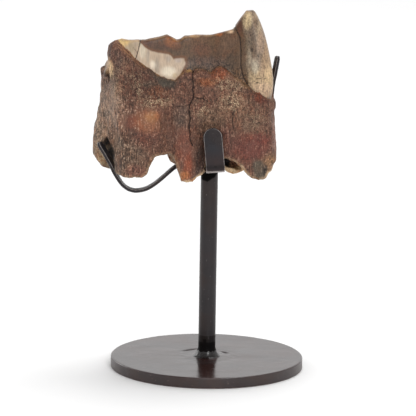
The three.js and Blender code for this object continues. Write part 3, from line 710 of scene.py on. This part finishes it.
def make_tooth(material):
    step = NET_STEP
    points, quads = surface_net(tooth_field, TOOTH_LOW, TOOTH_HIGH, step)
    points = onto_surface(tooth_field, points, step * 0.4)
    slope = field_slope(tooth_field, points)
    normals = slope / np.maximum(np.linalg.norm(slope, axis=1, keepdims=True), 1e-9)
    x, y, z = points.T
    cover = ramp(cement_edge(x, y) - z, -0.2, 0.8)
    marks = tooth_marks(points, normals)
    points = points + normals * relief(points, cover)[:, None]
    placed = (points * TOOTH_SCALE + TOOTH_PLACE) * MM
    placed = clear_of(placed, ("front_prong", "left_arm", "right_arm"), STRIP_CLEARANCE * MM)
    low, high = (np.array(corner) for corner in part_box("tooth"))
    new_piece("fossil_tooth", np.clip(placed, low, high), quads, material, "tooth", marks)


# ---------- materials

MIX_INPUTS = (0, 6, 7)  # of a mix node: its share, its first and its second colour
MIX_OUTPUT = 2


class Value:
    """A node's output, with the signs of arithmetic. With a colour or a tuple, each part goes by itself."""

    def __init__(self, nodes, socket):
        self.nodes = nodes
        self.socket = socket

    def math(self, operation, other=None):
        plain = self.socket.type == "VALUE" and not isinstance(other, tuple)
        return self.nodes.add("Math" if plain else "VectorMath", {0: self, 1: other}, operation=operation)

    def __add__(self, other):
        return self.math("ADD", other)

    def __sub__(self, other):
        return self.math("SUBTRACT", other)

    def __mul__(self, other):
        return self.math("MULTIPLY", other)

    def __abs__(self):
        return self.math("ABSOLUTE")

    def at_least(self, other):
        return self.math("MAXIMUM", other)

    def at_most(self, other):
        return self.math("MINIMUM", other)

    def ramp(self, low, high, start=0, end=1):
        """Goes from start, where this is low, to end, where this is high."""
        inputs = {"Value": self, "From Min": low, "From Max": high, "To Min": start, "To Max": end}
        return self.nodes.add("MapRange", inputs, interpolation_type="SMOOTHSTEP")

    def fade(self, low, high):
        return self.ramp(low, high, 1, 0)


class Nodes:
    """A node tree. Each method that adds a node gives back its output."""

    def __init__(self, tree):
        self.tree = tree

    def put(self, socket, value):
        if isinstance(value, Value):
            self.tree.links.new(value.socket, socket)
        elif isinstance(value, str):
            socket.default_value = (*linear(value), 1)
        elif value is not None:
            socket.default_value = value

    def add(self, kind, inputs, output=0, **settings):
        node = self.tree.nodes.new("ShaderNode" + kind)
        for name, setting in settings.items():
            setattr(node, name, setting)
        for name, value in inputs.items():
            self.put(node.inputs[name], value)
        return Value(self, node.outputs[output])

    def parts(self, vector):
        first = self.add("SeparateXYZ", {0: vector})
        return [Value(self, output) for output in first.socket.node.outputs]


class Shader(Nodes):
    """A material, with places in mm."""

    def __init__(self, name):
        self.material = bpy.data.materials.new(name)
        self.material.use_nodes = True
        super().__init__(self.material.node_tree)
        self.tree.nodes.clear()
        self.surface = self.tree.nodes.new("ShaderNodeBsdfPrincipled")
        output = self.tree.nodes.new("ShaderNodeOutputMaterial")
        self.tree.links.new(self.surface.outputs[0], output.inputs[0])
        self.place = self.add("TexCoord", {}, "Object") * (1 / MM, 1 / MM, 1 / MM)

    def noise(self, scale, detail, roughness=0.5, distortion=0, shift=0):
        """Noise about 0.5, with lumps 1 / scale across, scale being one number for each axis."""
        place = self.place * scale + (shift, shift * 1.7, -shift)
        look = {"Scale": 1, "Detail": detail, "Roughness": roughness, "Distortion": distortion}
        return self.add("TexNoise", {"Vector": place, **look})

    def signed(self, scale, detail, gain, distortion=0, shift=0):
        """Noise from -1 to 1; the more gain, the more of it is near either end."""
        noise = self.noise(scale, detail, distortion=distortion, shift=shift)
        return ((noise - 0.5) * gain).at_least(-1).at_most(1)

    def mix(self, share, a, b):
        return self.add("Mix", dict(zip(MIX_INPUTS, (share, a, b))), MIX_OUTPUT, data_type="RGBA")

    def mark(self, name):
        """A vertex mark as a colour."""
        return self.add("Attribute", {}, "Vector", attribute_name=name)

    def marks(self, name):
        """The three numbers of a vertex mark."""
        return self.parts(self.mark(name))

    def finish(self, colour, roughness, gloss, height=None):
        normal = self.add("Bump", {"Strength": 1, "Distance": MM, "Height": height}) if height else None
        look = {"Base Color": colour, "Roughness": roughness, "Specular IOR Level": gloss, "Normal": normal}
        for name, value in look.items():
            self.put(self.surface.inputs[name], value)
        return self.material


# The tooth's smaller colours.
PALE_GRAIN = "#c4aa92"
FLECK = "#eed0a8"
GROOVE = "#22120d"
# painted shade, near black, in the lobe's hollow and the gap of the pulp wall
HOLLOW_SHADE = "#0b0706"
RIDGE_STAIN = "#30261f"
WINDOW_BORDER = "#6f4526"
CREST_BROWN = "#5c3823"
CREST_PALE = "#a5835a"
DENTINE_DARK = "#503828"
DENTINE_PALE = "#80654a"
EDGE_GREY = "#463f35"
LAYER_BROWN = "#9a6a41"
# painted highlight on the cement's lip
LIP_HIGHLIGHT = "#a8804f"
BREAK_BROWN = "#a2683a"
BREAK_PALE = "#d3b792"
# painted shade inside the pulp cavity
CAVITY_SHADE = "#2e1810"
CRACK = "#140b08"


def tooth_material():
    s = Shader("fossil_tooth")
    edge, white, ridge = s.marks("regions")
    flecks, fibres, smooth = s.marks("texture")
    worn, broken, cavity_shade = s.marks("worn")
    lip_highlight, bevel, stripes = s.marks("lip")
    crest, ridge_mark, hollow_shade = s.marks("edges")

    fibre = s.signed((1.9, 1.9, 0.5), 2, 7)
    streak = s.signed((1.9, 1.9, 0.16), 2, 6, shift=13)
    grain = s.signed((2, 2, 1.6), 1.5, 7, shift=3)
    clump = s.signed((0.75, 0.75, 0.6), 2, 4, shift=5)
    blotch = s.signed((0.26, 0.26, 0.2), 2, 3.5, shift=7)
    tinge = s.signed((0.4, 0.4, 0.3), 2, 3.5, shift=9)
    line = s.signed((2.4, 2.4, 0.13), 2, 4.5, shift=41)
    broad_line = s.signed((0.8, 0.8, 0.08), 2, 4, shift=47)
    rough = smooth * -0.75 + 1
    wobble = grain * 0.14

    # cement: fibres, grains and clumps, redder and greyer by turns, with pale worm-like flecks, dark grooves
    # and painted shade, near black, in the lobe's hollow and in the gap of the pulp wall
    light = fibre * (fibres * 0.38 + 0.16) + streak * (fibres * 0.16 + 0.1) + grain * 0.35 + clump * 0.2
    light = light * rough + blotch * 0.12 + 0.94
    cement = s.mark("cement_colour") * (0.93, 0.85, 0.82) * light.at_least(0.25)
    cement = s.mix((grain + fibre).ramp(0.7, 1.9) * fibres * 0.62, cement, PALE_GRAIN)
    cement = s.mix(tinge.ramp(0, 0.8), cement, cement * (1.08, 0.94, 0.86))
    cement = s.mix(tinge.fade(-0.8, 0), cement, cement * (0.9, 0.96, 1))
    worm_line = abs(s.signed((0.95, 0.95, 0.85), 1, 5, 2.4, 21))
    worm_place = s.signed((0.6, 0.6, 0.6), 2, 5, shift=33).ramp(-0.7, -0.1)
    worm = worm_line.fade(0.06, 0.22) * worm_place * (rough * 0.06 + flecks * 1.05).at_most(1)
    cement = s.mix(worm * 0.95, cement, FLECK)
    groove_line = abs(s.signed((0.95, 0.95, 0.6), 1.5, 5, 0.8, 27))
    groove = groove_line.fade(0.05, 0.3) * clump.ramp(-0.3, 0.4) * rough
    cement = s.mix(groove * 0.7, cement, GROOVE)
    # painted shade, near black, deepest inside the lobe's hollow and the gap of the pulp wall
    cement = s.mix((hollow_shade + clump * 0.2).fade(0, 2.6) * 0.95, cement, HOLLOW_SHADE)

    # enamel: the stained wall, the pale ridge, the white window with its brown border, and the crest
    wall_light = line * 0.17 + clump * 0.18 + grain * (edge.ramp(-5.5, -0.8) * 0.45 + 0.22)
    wall = s.mark("enamel_colour") * (0.94, 0.85, 0.8) * (wall_light + 1)
    wall = s.mix(tinge.ramp(-0.1, 0.8) * 0.5, wall, wall * (1.3, 0.95, 0.75))
    wall = s.mix(blotch.fade(-0.8, 0.1) * 0.5, wall, wall * (0.72, 0.78, 0.82))
    cream_light = line * 0.24 + broad_line * 0.2 + grain * 0.26 + clump * 0.16 + fibre * 0.14
    cream = s.mark("ridge_colour") * (cream_light + 1)
    cream = s.mix(tinge.ramp(0.1, 0.9) * 0.5, cream, cream * (1.04, 0.9, 0.84))
    cream = s.mix((ridge_mark + grain * 0.3).fade(0.7, 1.3) * 0.75, cream, RIDGE_STAIN)
    enamel = s.mix((ridge + wobble).ramp(-0.6, 1.5), wall, cream)
    pale = s.mark("white_colour")
    pale = s.mix(broad_line.ramp(0, 0.9) * 0.5, pale, pale * (0.68, 0.68, 0.7))
    pale = pale * (line * 0.13 + blotch * 0.06 + 1)
    window = white + clump * 0.12
    enamel = s.mix(window.ramp(-1.5, -0.1) * window.fade(0, 0.7) * 0.6, enamel, WINDOW_BORDER)
    enamel = s.mix(window.ramp(-0.25, 0.55), enamel, pale)
    # the crest's pale tint is partly a painted highlight where its edge is lit from above
    crest_tint = s.mix((tinge + lip_highlight * 0.6).ramp(-0.2, 0.7), CREST_BROWN, CREST_PALE)
    enamel = s.mix((crest + clump * 0.3).fade(0.05, 0.7) * 0.6, enamel, crest_tint)
    dentine = s.mix(blotch.ramp(-0.8, 0.8), DENTINE_DARK, DENTINE_PALE) * (grain * 0.2 + 1)
    enamel = s.mix(worn, enamel, dentine)

    # the cement's broken edge, with its layers, and its lip painted paler as a highlight where it is lit from
    # above
    covered = (edge + wobble).ramp(-0.12, 0.12)
    band = edge.ramp(0, 0.5) * (edge + clump * 0.6).fade(1.8, 3.2) * bevel
    cement = s.mix(band * 0.75, cement, (fibre * 0.25 + 1) * tuple(linear(EDGE_GREY)))
    layers = ((edge + clump * 0.12) * 8).math("SINE").ramp(0, 0.7) * edge.fade(1.4, 2.4) * stripes
    cement = s.mix(layers * 0.7, cement, LAYER_BROWN)
    colour = s.mix(covered, enamel, cement)
    lip = covered * (edge + clump * 0.35).fade(0.2, 0.75)
    colour = s.mix(lip * tinge.ramp(-0.2, 0.6) * lip_highlight, colour, LIP_HIGHLIGHT)

    # the roots' broken ends, painted shade inside the pulp cavity, and the cracks
    fresh = s.mix(clump.ramp(-0.8, 0.3), BREAK_BROWN, BREAK_PALE) * (grain * 0.25 + 1)
    colour = s.mix(broken * 0.9, colour, fresh)
    colour = s.mix(cavity_shade * 0.75, colour, CAVITY_SHADE)
    crack = 0
    for mark, cracks in CRACK_MARKS.items():
        places = zip(s.marks(mark + "_across"), s.marks(mark + "_past"))
        for (across, past), (width, _) in zip(places, cracks.values()):
            away = abs(across + grain * 0.08) + past
            crack = away.fade(width * 0.6, width * 2).at_least(crack)
    colour = s.mix(crack * 0.85, colour, CRACK)

    bark = fibre * (fibres * 0.09 + 0.02) + grain * 0.05 * rough + clump * 0.05 + worm * 0.06 - groove * 0.08
    height = bark * covered + line * 0.008 - crack * 0.2
    return s.finish(colour, covered * 0.22 + 0.42 - smooth * 0.14, 0.35, height)


# Steel where it is rubbed bare, which also paints its small glints and the strips' edge highlights; the black
# of scorch and of painted shade; and what its tint is multiplied by.
FOOT_WEAR_AND_GLINT = "#a48c86"
POST_WEAR_AND_GLINT = "#a39b99"
STRIP_WEAR_AND_HIGHLIGHT = "#a79f9c"
SOOT_AND_SHADE = "#1a1716"
# black of painted shade, and of scorch near the post's foot
SHADE_AND_SCORCH_BLACK = "#060505"
STEEL_COOL = (0.92, 0.98, 1.08, 1)
STEEL_WARM = (1.15, 0.98, 0.92, 1)
STEEL_BROWN = (1.25, 0.95, 0.85)


def steel_material(name, colour, wear_and_highlight_colour, roughness, gloss, dents=0.2):
    """Dark patinated steel, its edges rubbed brighter where the edge mark is high, with a painted highlight
    on the strips' edges and small painted glints; black where painted shade or scorch is marked.
    """
    s = Shader(name)
    edge, shade_and_scorch, brown = s.marks("steel")
    cloud = s.noise((0.12, 0.12, 0.12), 3, 0.6)
    grain = s.noise((1.6, 1.6, 1.6), 2, 0.6, shift=5)
    scratch = s.noise((0.25, 3.5, 0.25), 2, 0.7, 0.6, 9)
    warmth = s.noise((0.09, 0.09, 0.09), 2, shift=15).ramp(0.4, 0.6)
    # painted glints: small bright specks in the rubbed colour
    painted_glints = s.noise((1.5, 1.5, 0.8), 2, 0.6, shift=31).ramp(0.69, 0.75)
    tint = s.mix(warmth, STEEL_COOL, STEEL_WARM) * (cloud * 0.8 + 0.6) * tuple(linear(colour))
    tint = s.mix(brown, tint, tint * STEEL_BROWN)
    tint = s.mix((edge + (grain - 0.5) * 0.8).ramp(0.4, 0.9) * 0.8, tint, wear_and_highlight_colour)
    tint = s.mix(painted_glints * 0.35, tint, wear_and_highlight_colour)
    # painted shade on the prong's bend and the post's top, and scorch near the post's foot
    tint = s.mix(shade_and_scorch * 0.9, tint, SHADE_AND_SCORCH_BLACK)
    shine = (cloud + scratch.ramp(0.6, 0.75)) * 0.12 + (roughness - 0.08)
    return s.finish(tint, shine, gloss, cloud * dents + scratch * 0.005 + grain * 0.003)


def studio_material():
    s = Shader("studio_white")
    paper = s.noise((0.02, 0.02, 0.02), 2)
    return s.finish(s.mix(paper, "#f6f6f6", "#fafafa"), 0.9, 0.1)


# ---------- the stand

FOOT_RADIUS = 33.6
FOOT_HEIGHT = 4
FOOT_BEVEL = 0.45
FOOT_SIDES = 240
# Two shallow scars in the foot's top: distance from the post's axis, angle and half angle in radians.
SCARS = [(10.4, 2.2, 0.3), (8.4, 0.68, 0.2)]
SCAR_DEPTH = 0.4
POST_RADIUS = 3
POST_TOP = 73.4
POST_BEVEL = 0.3
POST_SIDES = 96
SHARP_ANGLE = math.radians(50)  # creases sharper than this aren't smoothed
WELD_SIZE = 1.9
WELD_HEIGHT = 3.1
# how far the painted shadow of the prong reaches down from the post's top
SHADOW_LENGTH = 6.4
SMOKE_HEIGHT = 10  # above the foot
PRONG = dict(width=6.5, thickness=1.3, corner=0.34)
ARM = dict(width=3, thickness=1.2, corner=0.3)
STRIP_STEPS = 110
TIP_STEPS = 12
TIP_TURN = 0.46 * math.pi  # a strip's round tip stops just short of a quarter turn
TANGENT_REACH = 0.4
PRONG_LEVEL = 74.05
PRONG_FRONT = -17.75
PRONG_BEND = 2.2
PRONG_ROLL = 0.105
PRONG_BACK_END = (-0.3, 3, PRONG_LEVEL)
PRONG_CORNER = (2.24, PRONG_FRONT, PRONG_LEVEL)
PRONG_TIP = (0.68, PRONG_FRONT, 89.7)
ARM_LEVEL = 75.3
TURN_START = 18  # distance from an arm's tip where it begins to turn about its length
TURN_END = 6
LEFT_TURN = -0.44
RIGHT_TURN = 0.35
LEFT_ARM = [
    (-0.15, 0, ARM_LEVEL), (-2, 0, ARM_LEVEL), (-3.8, 0, ARM_LEVEL), (-7.6, -0.8, 74.5), (-12.1, -1.8, 72),
    (-16.4, -2.8, 68.4), (-19, -3.3, 66.3), (-21.8, -3.9, 64.7), (-24.2, -4.4, 64.1), (-26.2, -4.9, 64.1),
    (-28.3, -5.3, 64.8), (-30.1, -5.7, 66.2), (-31.7, -6, 68.4), (-33, -6.3, 70.8), (-34.5, -6.6, 74.2),
    (-36, -6.8, 77.1), (-38.8, -6.9, 81.6),
]
RIGHT_ARM = [
    (0.15, 0, ARM_LEVEL), (2, 0, ARM_LEVEL), (3.8, 0.1, ARM_LEVEL), (7, 0.6, 74.1), (11, 1.6, 73.3),
    (15.5, 2.6, 73.3), (19.2, 3.2, 74.8), (21, 3.4, 78.5), (21.2, 3.5, 84), (21.2, 3.7, 93),
    (21.6, 3.9, 101), (22.2, 4, 105), (23.2, 4.1, 111),
]


def curve_through(points, per_span=12):
    """A centripetal Catmull-Rom curve through the points, as many points."""
    p = np.array(points, float)
    p = np.vstack([2 * p[0] - p[1], p, 2 * p[-1] - p[-2]])
    curve = []
    for i in range(len(p) - 3):
        level = list(p[i : i + 4])
        t = np.cumsum([0, *(np.linalg.norm(b - a) ** 0.5 for a, b in zip(level, level[1:]))])
        u = np.linspace(t[1], t[2], per_span, endpoint=False)[:, None]
        for spans in ([(0, 1), (1, 2), (2, 3)], [(0, 2), (1, 3)], [(1, 2)]):
            level = [
                ((t[end] - u) * a + (u - t[start]) * b) / (t[end] - t[start])
                for (start, end), a, b in zip(spans, level, level[1:])
            ]
        curve.append(level[0])
    return np.vstack([*curve, p[-2:-1]])


def prong_line():
    back, corner, tip = np.array([PRONG_BACK_END, PRONG_CORNER, PRONG_TIP], float)
    start, end = (corner + (far - corner) / np.linalg.norm(far - corner) * PRONG_BEND for far in (back, tip))
    s = np.linspace(0, 1, 14)[:, None]
    bend = (1 - s) ** 2 * start + 2 * s * (1 - s) * corner + s * s * end
    return np.vstack([np.linspace(back, start, 30)[:-1], bend, np.linspace(end, tip, 30)[1:]])


def arc(centre, radius, start, end, steps, mark):
    """Points of an arc, angles in degrees, with an edge mark that peaks in its middle."""
    share = np.linspace(0, 1, steps + 1)
    turn = np.radians(mix(start, end, share))
    peak = mark * (1 - np.abs(2 * share - 1))
    return np.stack([centre[0] + radius * np.cos(turn), centre[1] + radius * np.sin(turn), peak], 1).tolist()


def rounded_section(half_width, half_thickness, radius):
    """A rounded rectangle as points, and a mark that is 1 on its corners, which the steel shows rubbed and
    with a painted highlight.
    """
    radius = min(radius, half_width * 0.95, half_thickness * 0.95)
    points = []
    for quarter, (side, face) in enumerate([(1, 1), (-1, 1), (-1, -1), (1, -1)]):
        centre = (side * (half_width - radius), face * (half_thickness - radius))
        points += arc(centre, radius, quarter * 90, quarter * 90 + 90, 4, 1)
    points = np.array(points)
    return points[:, :2], points[:, 2]


def ring_faces(rings, ring):
    """Faces between rings of so many vertices each, that follow each other."""
    faces = []
    for i in range(rings - 1):
        for j in range(ring):
            k = (j + 1) % ring
            faces.append((i * ring + j, i * ring + k, (i + 1) * ring + k, (i + 1) * ring + j))
    return faces


def steel_marks(edge, shade_and_scorch, brown=0):
    """What the steel needs to know at each vertex: how near an edge it is, how black from painted shade and
    from scorch, and how brown.
    """
    edge = np.asarray(edge, float)
    return np.stack([edge, edge * 0 + shade_and_scorch, edge * 0 + brown], 1)


def strip(name, line, shape, across, material, node, worn=lambda middle: (0, 0, 0)):
    """A flat strip with rounded edges and a round tip, along a line; worn adds to its steel marks, on the
    prong a painted highlight and painted shade at its bend.
    """
    lengths = np.concatenate([[0], np.cumsum(np.linalg.norm(np.diff(line, axis=0), axis=1))])
    half = shape["width"] / 2
    body = np.linspace(0, lengths[-1] - half, STRIP_STEPS)
    turns = np.linspace(0, TIP_TURN, TIP_STEPS)[1:]
    stops = np.concatenate([[0.02], body[1:], lengths[-1] - half * (1 - np.sin(turns))])
    halves = np.concatenate([np.full(len(body), half), half * np.cos(turns)])
    vertices, marks = [], []
    for stop, half_width in zip(stops, halves):
        reached = stop + TANGENT_REACH * np.array([0, -1, 1])
        middle, before, after = np.stack([np.interp(reached, lengths, axis) for axis in line.T], 1)
        tangent = (after - before) / np.linalg.norm(after - before)
        side = np.array(across(middle), float)
        side -= tangent * (side @ tangent)
        side /= np.linalg.norm(side)
        normal = np.cross(tangent, side)
        section, corner_mark = rounded_section(half_width, shape["thickness"] / 2, shape["corner"])
        vertices.extend(middle + section[:, :1] * side + section[:, 1:] * normal)
        painted_highlight, shade_and_scorch, brown = worn(middle)
        # the corners show rubbed wear with a painted highlight, and the prong's bend its own painted
        # highlight and shade
        marks.extend(steel_marks(corner_mark + painted_highlight, shade_and_scorch, brown))
    ring = len(corner_mark)
    faces = ring_faces(len(stops), ring)
    faces.append(tuple(reversed(range(ring))))
    faces.append(tuple(range((len(stops) - 1) * ring, len(stops) * ring)))
    new_piece(name, np.array(vertices) * MM, faces, material, node, {"steel": np.array(marks)})


def prong_across(middle):
    share = np.clip((middle[1] + POST_RADIUS) / (PRONG_FRONT + POST_RADIUS), 0, 1)
    return (1, 0, PRONG_ROLL * share)


def prong_highlight_shade_brown(middle):
    """A painted highlight along the bottom of the prong's bend, painted shade just above it, and brown below
    its middle.
    """
    at_front = fade(middle[1], PRONG_FRONT + 0.9, PRONG_FRONT + 2)
    above = middle[2] - PRONG_LEVEL
    bend_highlight = 1.8 * bump(above - 0.1, 0.6) * at_front
    dark = 0.7 * bump(above - 1.9, 0.7) * at_front
    return bend_highlight, dark, fade(above, 3, 9)


def arm_across(line, turn):
    def across(middle):
        share = (TURN_START - np.linalg.norm(middle - line[-1])) / (TURN_START - TURN_END)
        angle = turn * np.clip(share, 0, 1)
        return (-math.sin(angle), math.cos(angle), 0)

    return across


def round_places(radius, height, angle):
    return np.stack([radius * np.cos(angle), radius * np.sin(angle), height], 1)


def turned(name, profile, sides, materials, node, uneven, shade_and_scorch=None):
    """A round piece about the Z axis from (radius, height, edge mark) points, closed on the axis."""
    profile = np.array(profile, float)
    rings = profile[1:-1]
    angle = np.tile(np.arange(sides) * 2 * math.pi / sides, len(rings))
    radius, height = uneven(np.repeat(rings[:, 0], sides), np.repeat(rings[:, 1], sides), angle)
    body = round_places(radius, height, angle)
    vertices = np.vstack([body, [[0, 0, profile[0, 1]], [0, 0, profile[-1, 1]]]])
    faces = ring_faces(len(rings), sides)
    bottom, last = len(body), len(body) - sides
    for j in range(sides):
        k = (j + 1) % sides
        faces += [(bottom, k, j), (bottom + 1, last + j, last + k)]
    edge = np.concatenate([np.repeat(rings[:, 2], sides), [0, 0]])
    dark = shade_and_scorch(vertices) if shade_and_scorch else 0
    piece = new_piece(name, vertices * MM, faces, materials[0], node, {"steel": steel_marks(edge, dark)})
    piece.data.set_sharp_from_angle(angle=SHARP_ANGLE)
    for more in materials[1:]:
        piece.data.materials.append(more)
    return piece.data.polygons


def make_foot(*materials):
    """The foot, from its top's material and its rim's."""
    rim = FOOT_RADIUS - FOOT_BEVEL
    profile = [(0, 0, 0), *[(radius, 0, 0) for radius in (12, 24, 32)]]
    profile += arc((rim, FOOT_BEVEL), FOOT_BEVEL, -90, 0, 5, 0.8)
    profile += [(FOOT_RADIUS, FOOT_HEIGHT * share, 0.05) for share in (0.2, 0.35, 0.5, 0.65, 0.8)]
    profile += arc((rim, FOOT_HEIGHT - FOOT_BEVEL), FOOT_BEVEL, 0, 90, 5, 0.4)
    inwards = (*np.arange(32.5, 13, -0.8), *np.arange(12.4, 0.3, -0.3))
    profile += [(radius, FOOT_HEIGHT, 0) for radius in inwards]
    profile += [(0, FOOT_HEIGHT, 0)]

    def uneven(radius, height, angle):
        points = round_places(radius, height, angle)
        top = ramp(height, FOOT_HEIGHT - 0.5, FOOT_HEIGHT - 0.1) * ramp(radius, 1, 4)
        scars = sum(bump(radius - out, 0.5) * bump(angle - turn, half) for out, turn, half in SCARS)
        plain = 0.06 * (1 + layered(points, (9, 9, 9), 5, 2)) * ramp(radius, 5, 9)
        near_post = ramp(radius, 4.6, 5.6) * fade(radius, 8, 14)
        heated = 0.05 * (1 + layered(points, (1.4, 1.4, 9), 17, 2)) * near_post
        side = ramp(radius, 33, 33.5) * (0.05 + 0.05 * layered(points, (7, 7, 3), 6, 2))
        return radius - side, height - top * (0.02 + plain + heated + SCAR_DEPTH * scars)

    for polygon in turned("round_foot", profile, FOOT_SIDES, materials, "base_disc", uneven):
        polygon.material_index = int(abs(polygon.normal.z) < 0.6)


def make_post(*materials):
    """The post, from the materials of its plain steel, its black and its half-black steel (painted shadow of
    the prong at its top, scorch near its foot) and of its weld.
    """
    profile = [(0, FOOT_HEIGHT, 0), (POST_RADIUS + WELD_SIZE, FOOT_HEIGHT, 0)]
    for share in np.linspace(0.05, 1, 20):
        profile.append((POST_RADIUS + WELD_SIZE * (1 - share), FOOT_HEIGHT + WELD_HEIGHT * share**2, 0))
    profile += [(POST_RADIUS, height, 0) for height in np.linspace(8.2, POST_TOP - 8.4, 50)]
    profile += [(POST_RADIUS, height, 0) for height in np.linspace(POST_TOP - 8, POST_TOP - 0.6, 30)]
    profile += arc((POST_RADIUS - POST_BEVEL, POST_TOP - POST_BEVEL), POST_BEVEL, 0, 90, 3, 1)
    profile += [(0, POST_TOP, 0)]

    def uneven(radius, height, angle):
        points = round_places(radius, height, angle)
        weld = fade(height, FOOT_HEIGHT + 2, FOOT_HEIGHT + 3) * ramp(radius, 3, 3.3)
        spread = 0.5 * noise(points * (1, 1, 0), (3, 3, 3), 8)
        lumps = 0.3 * np.abs(layered(points, (1.2, 1.2, 0.9), 8, 2))
        wobble = 0.03 * noise(points, (4, 4, 12), 9)
        out = np.clip((radius - POST_RADIUS) / WELD_SIZE, 0, 1)
        height = height + weld * out * (1 - out) * 4 * lumps
        return radius - weld * out * np.maximum(spread, 0) - np.maximum(wobble, 0), height

    # painted shadow of the prong across the post's top, lowest at the front, and scorch from the weld near
    # the foot
    def shade_and_scorch(vertices):
        x, y, z = vertices.T
        ragged = 0.4 * noise(vertices, (1.2, 1.2, 3), 12)
        higher = 0.8 * np.maximum(x + 0.6, 0) + 0.3 * np.maximum(-0.6 - x, 0) + 0.8 * np.maximum(y, 0)
        lowest = POST_TOP - SHADOW_LENGTH + higher
        by_foot = 0.8 * fade(z + 2 * ragged, FOOT_HEIGHT + 2.6, FOOT_HEIGHT + SMOKE_HEIGHT)
        return np.maximum(ramp(z + ragged, lowest - 0.3, lowest + 0.3), by_foot)

    for polygon in turned("upright_post", profile, POST_SIDES, materials, "post", uneven, shade_and_scorch):
        centre = np.array(polygon.center)[None] / MM
        weld_top = FOOT_HEIGHT + WELD_HEIGHT * 0.65 + 0.4 * noise(centre, (1, 1, 1), 14)[0]
        black = shade_and_scorch(centre)[0]
        by_blackness = 1 if black > 0.5 else 2 if black > 0.2 else 0
        polygon.material_index = 3 if centre[0, 2] < weld_top else by_blackness


# ---------- the studio

FLOOR_HALF = 4.0  # metres, as everything is in this section
LIGHTS_AIM = Vector((0, 0, 0.07))
# Place, side and watts.
LIGHTS = {
    "key_light": ((0.25, -1, 0.55), 0.34, 4.5),
    "top_light": ((0.1, 0.3, 1.1), 0.6, 6.5),
    "side_light": ((-0.9, 0.75, 0.35), 0.6, 2.5),
}
# The light from all round: its strength up to one angle above the horizon, and from another angle on.
LOW_LIGHT = 0.95
LOW_ANGLE = math.radians(15)
HIGH_LIGHT = 0.35
HIGH_ANGLE = math.radians(60)


def make_floor(material):
    mesh = bpy.data.meshes.new("studio_floor")
    corners = [(x * FLOOR_HALF, y * FLOOR_HALF, 0) for x, y in ((-1, -1), (1, -1), (1, 1), (-1, 1))]
    mesh.from_pydata(corners, [], [(0, 1, 2, 3)])
    mesh.materials.append(material)
    floor = new_object("studio_floor", mesh)


def make_light(name, place, size, power):
    light = bpy.data.lights.new(name, "AREA")
    light.shape = "SQUARE"
    light.size = size
    light.energy = power
    lamp = new_object(name, light)
    lamp.location = place
    lamp.rotation_euler = (LIGHTS_AIM - lamp.location).to_track_quat("-Z", "Y").to_euler()


def make_world():
    world = bpy.data.worlds.new("studio_light")
    world.use_nodes = True
    nodes = Nodes(world.node_tree)
    up = nodes.parts(nodes.add("TexCoord", {}, "Generated"))[2]
    background = world.node_tree.nodes["Background"]
    nodes.put(background.inputs["Color"], "#ffffff")
    strength = up.ramp(math.sin(LOW_ANGLE), math.sin(HIGH_ANGLE), LOW_LIGHT, HIGH_LIGHT)
    nodes.put(background.inputs["Strength"], strength)
    bpy.context.scene.world = world


def make_camera():
    data = bpy.data.cameras.new("camera")
    data.sensor_width = SENSOR
    data.lens = SENSOR * CAMERA_DISTANCE / (IMAGE_SIDE * PIXEL)
    data.clip_end = CAMERA_REACH
    camera = new_object("camera", data)
    turn = Matrix.Rotation(math.pi / 2 - CAMERA_ELEVATION, 4, "X") @ Matrix.Rotation(CAMERA_ROLL, 4, "Z")
    back = Matrix.Translation((0, 0, CAMERA_DISTANCE))
    camera.matrix_world = Matrix.Translation(CAMERA_TARGET) @ turn @ back
    bpy.context.scene.camera = camera


# ---------- the scene

make_camera()
make_world()
for name, light in LIGHTS.items():
    make_light(name, *light)
make_floor(studio_material())
bpy.context.scene.view_settings.view_transform = "Standard"

foot_steel = steel_material("foot_steel", "#31211f", FOOT_WEAR_AND_GLINT, 0.2, 0.92, 0.08)
rim_steel = steel_material("rim_steel", "#2e2220", FOOT_WEAR_AND_GLINT, 0.4, 0.5)
weld_steel = steel_material("weld_steel", "#2a2523", FOOT_WEAR_AND_GLINT, 0.3, 0.5)
dark_steel = steel_material("dark_steel", "#272121", POST_WEAR_AND_GLINT, 0.38, 0.3)
# black steel for painted shade and scorch, and a half-black one at the edges of that black
scorch_and_shade_steel = steel_material("scorch_and_shade_steel", SOOT_AND_SHADE, SOOT_AND_SHADE, 0.5, 0.03)
smoke_and_shade_steel = steel_material("smoke_and_shade_steel", "#211c1b", SOOT_AND_SHADE, 0.45, 0.12)
strip_steel = steel_material("strip_steel", "#282628", STRIP_WEAR_AND_HIGHLIGHT, 0.3, 0.2)
make_tooth(tooth_material())
make_foot(foot_steel, rim_steel)
make_post(dark_steel, scorch_and_shade_steel, smoke_and_shade_steel, weld_steel)
strip("front_strip", prong_line(), PRONG, prong_across, strip_steel, "front_prong", prong_highlight_shade_brown)
for name, points, turn in (("left_arm", LEFT_ARM, LEFT_TURN), ("right_arm", RIGHT_ARM, RIGHT_TURN)):
    line = curve_through(points)
    strip(name + "_strip", line, ARM, arm_across(line, turn), strip_steel, name)
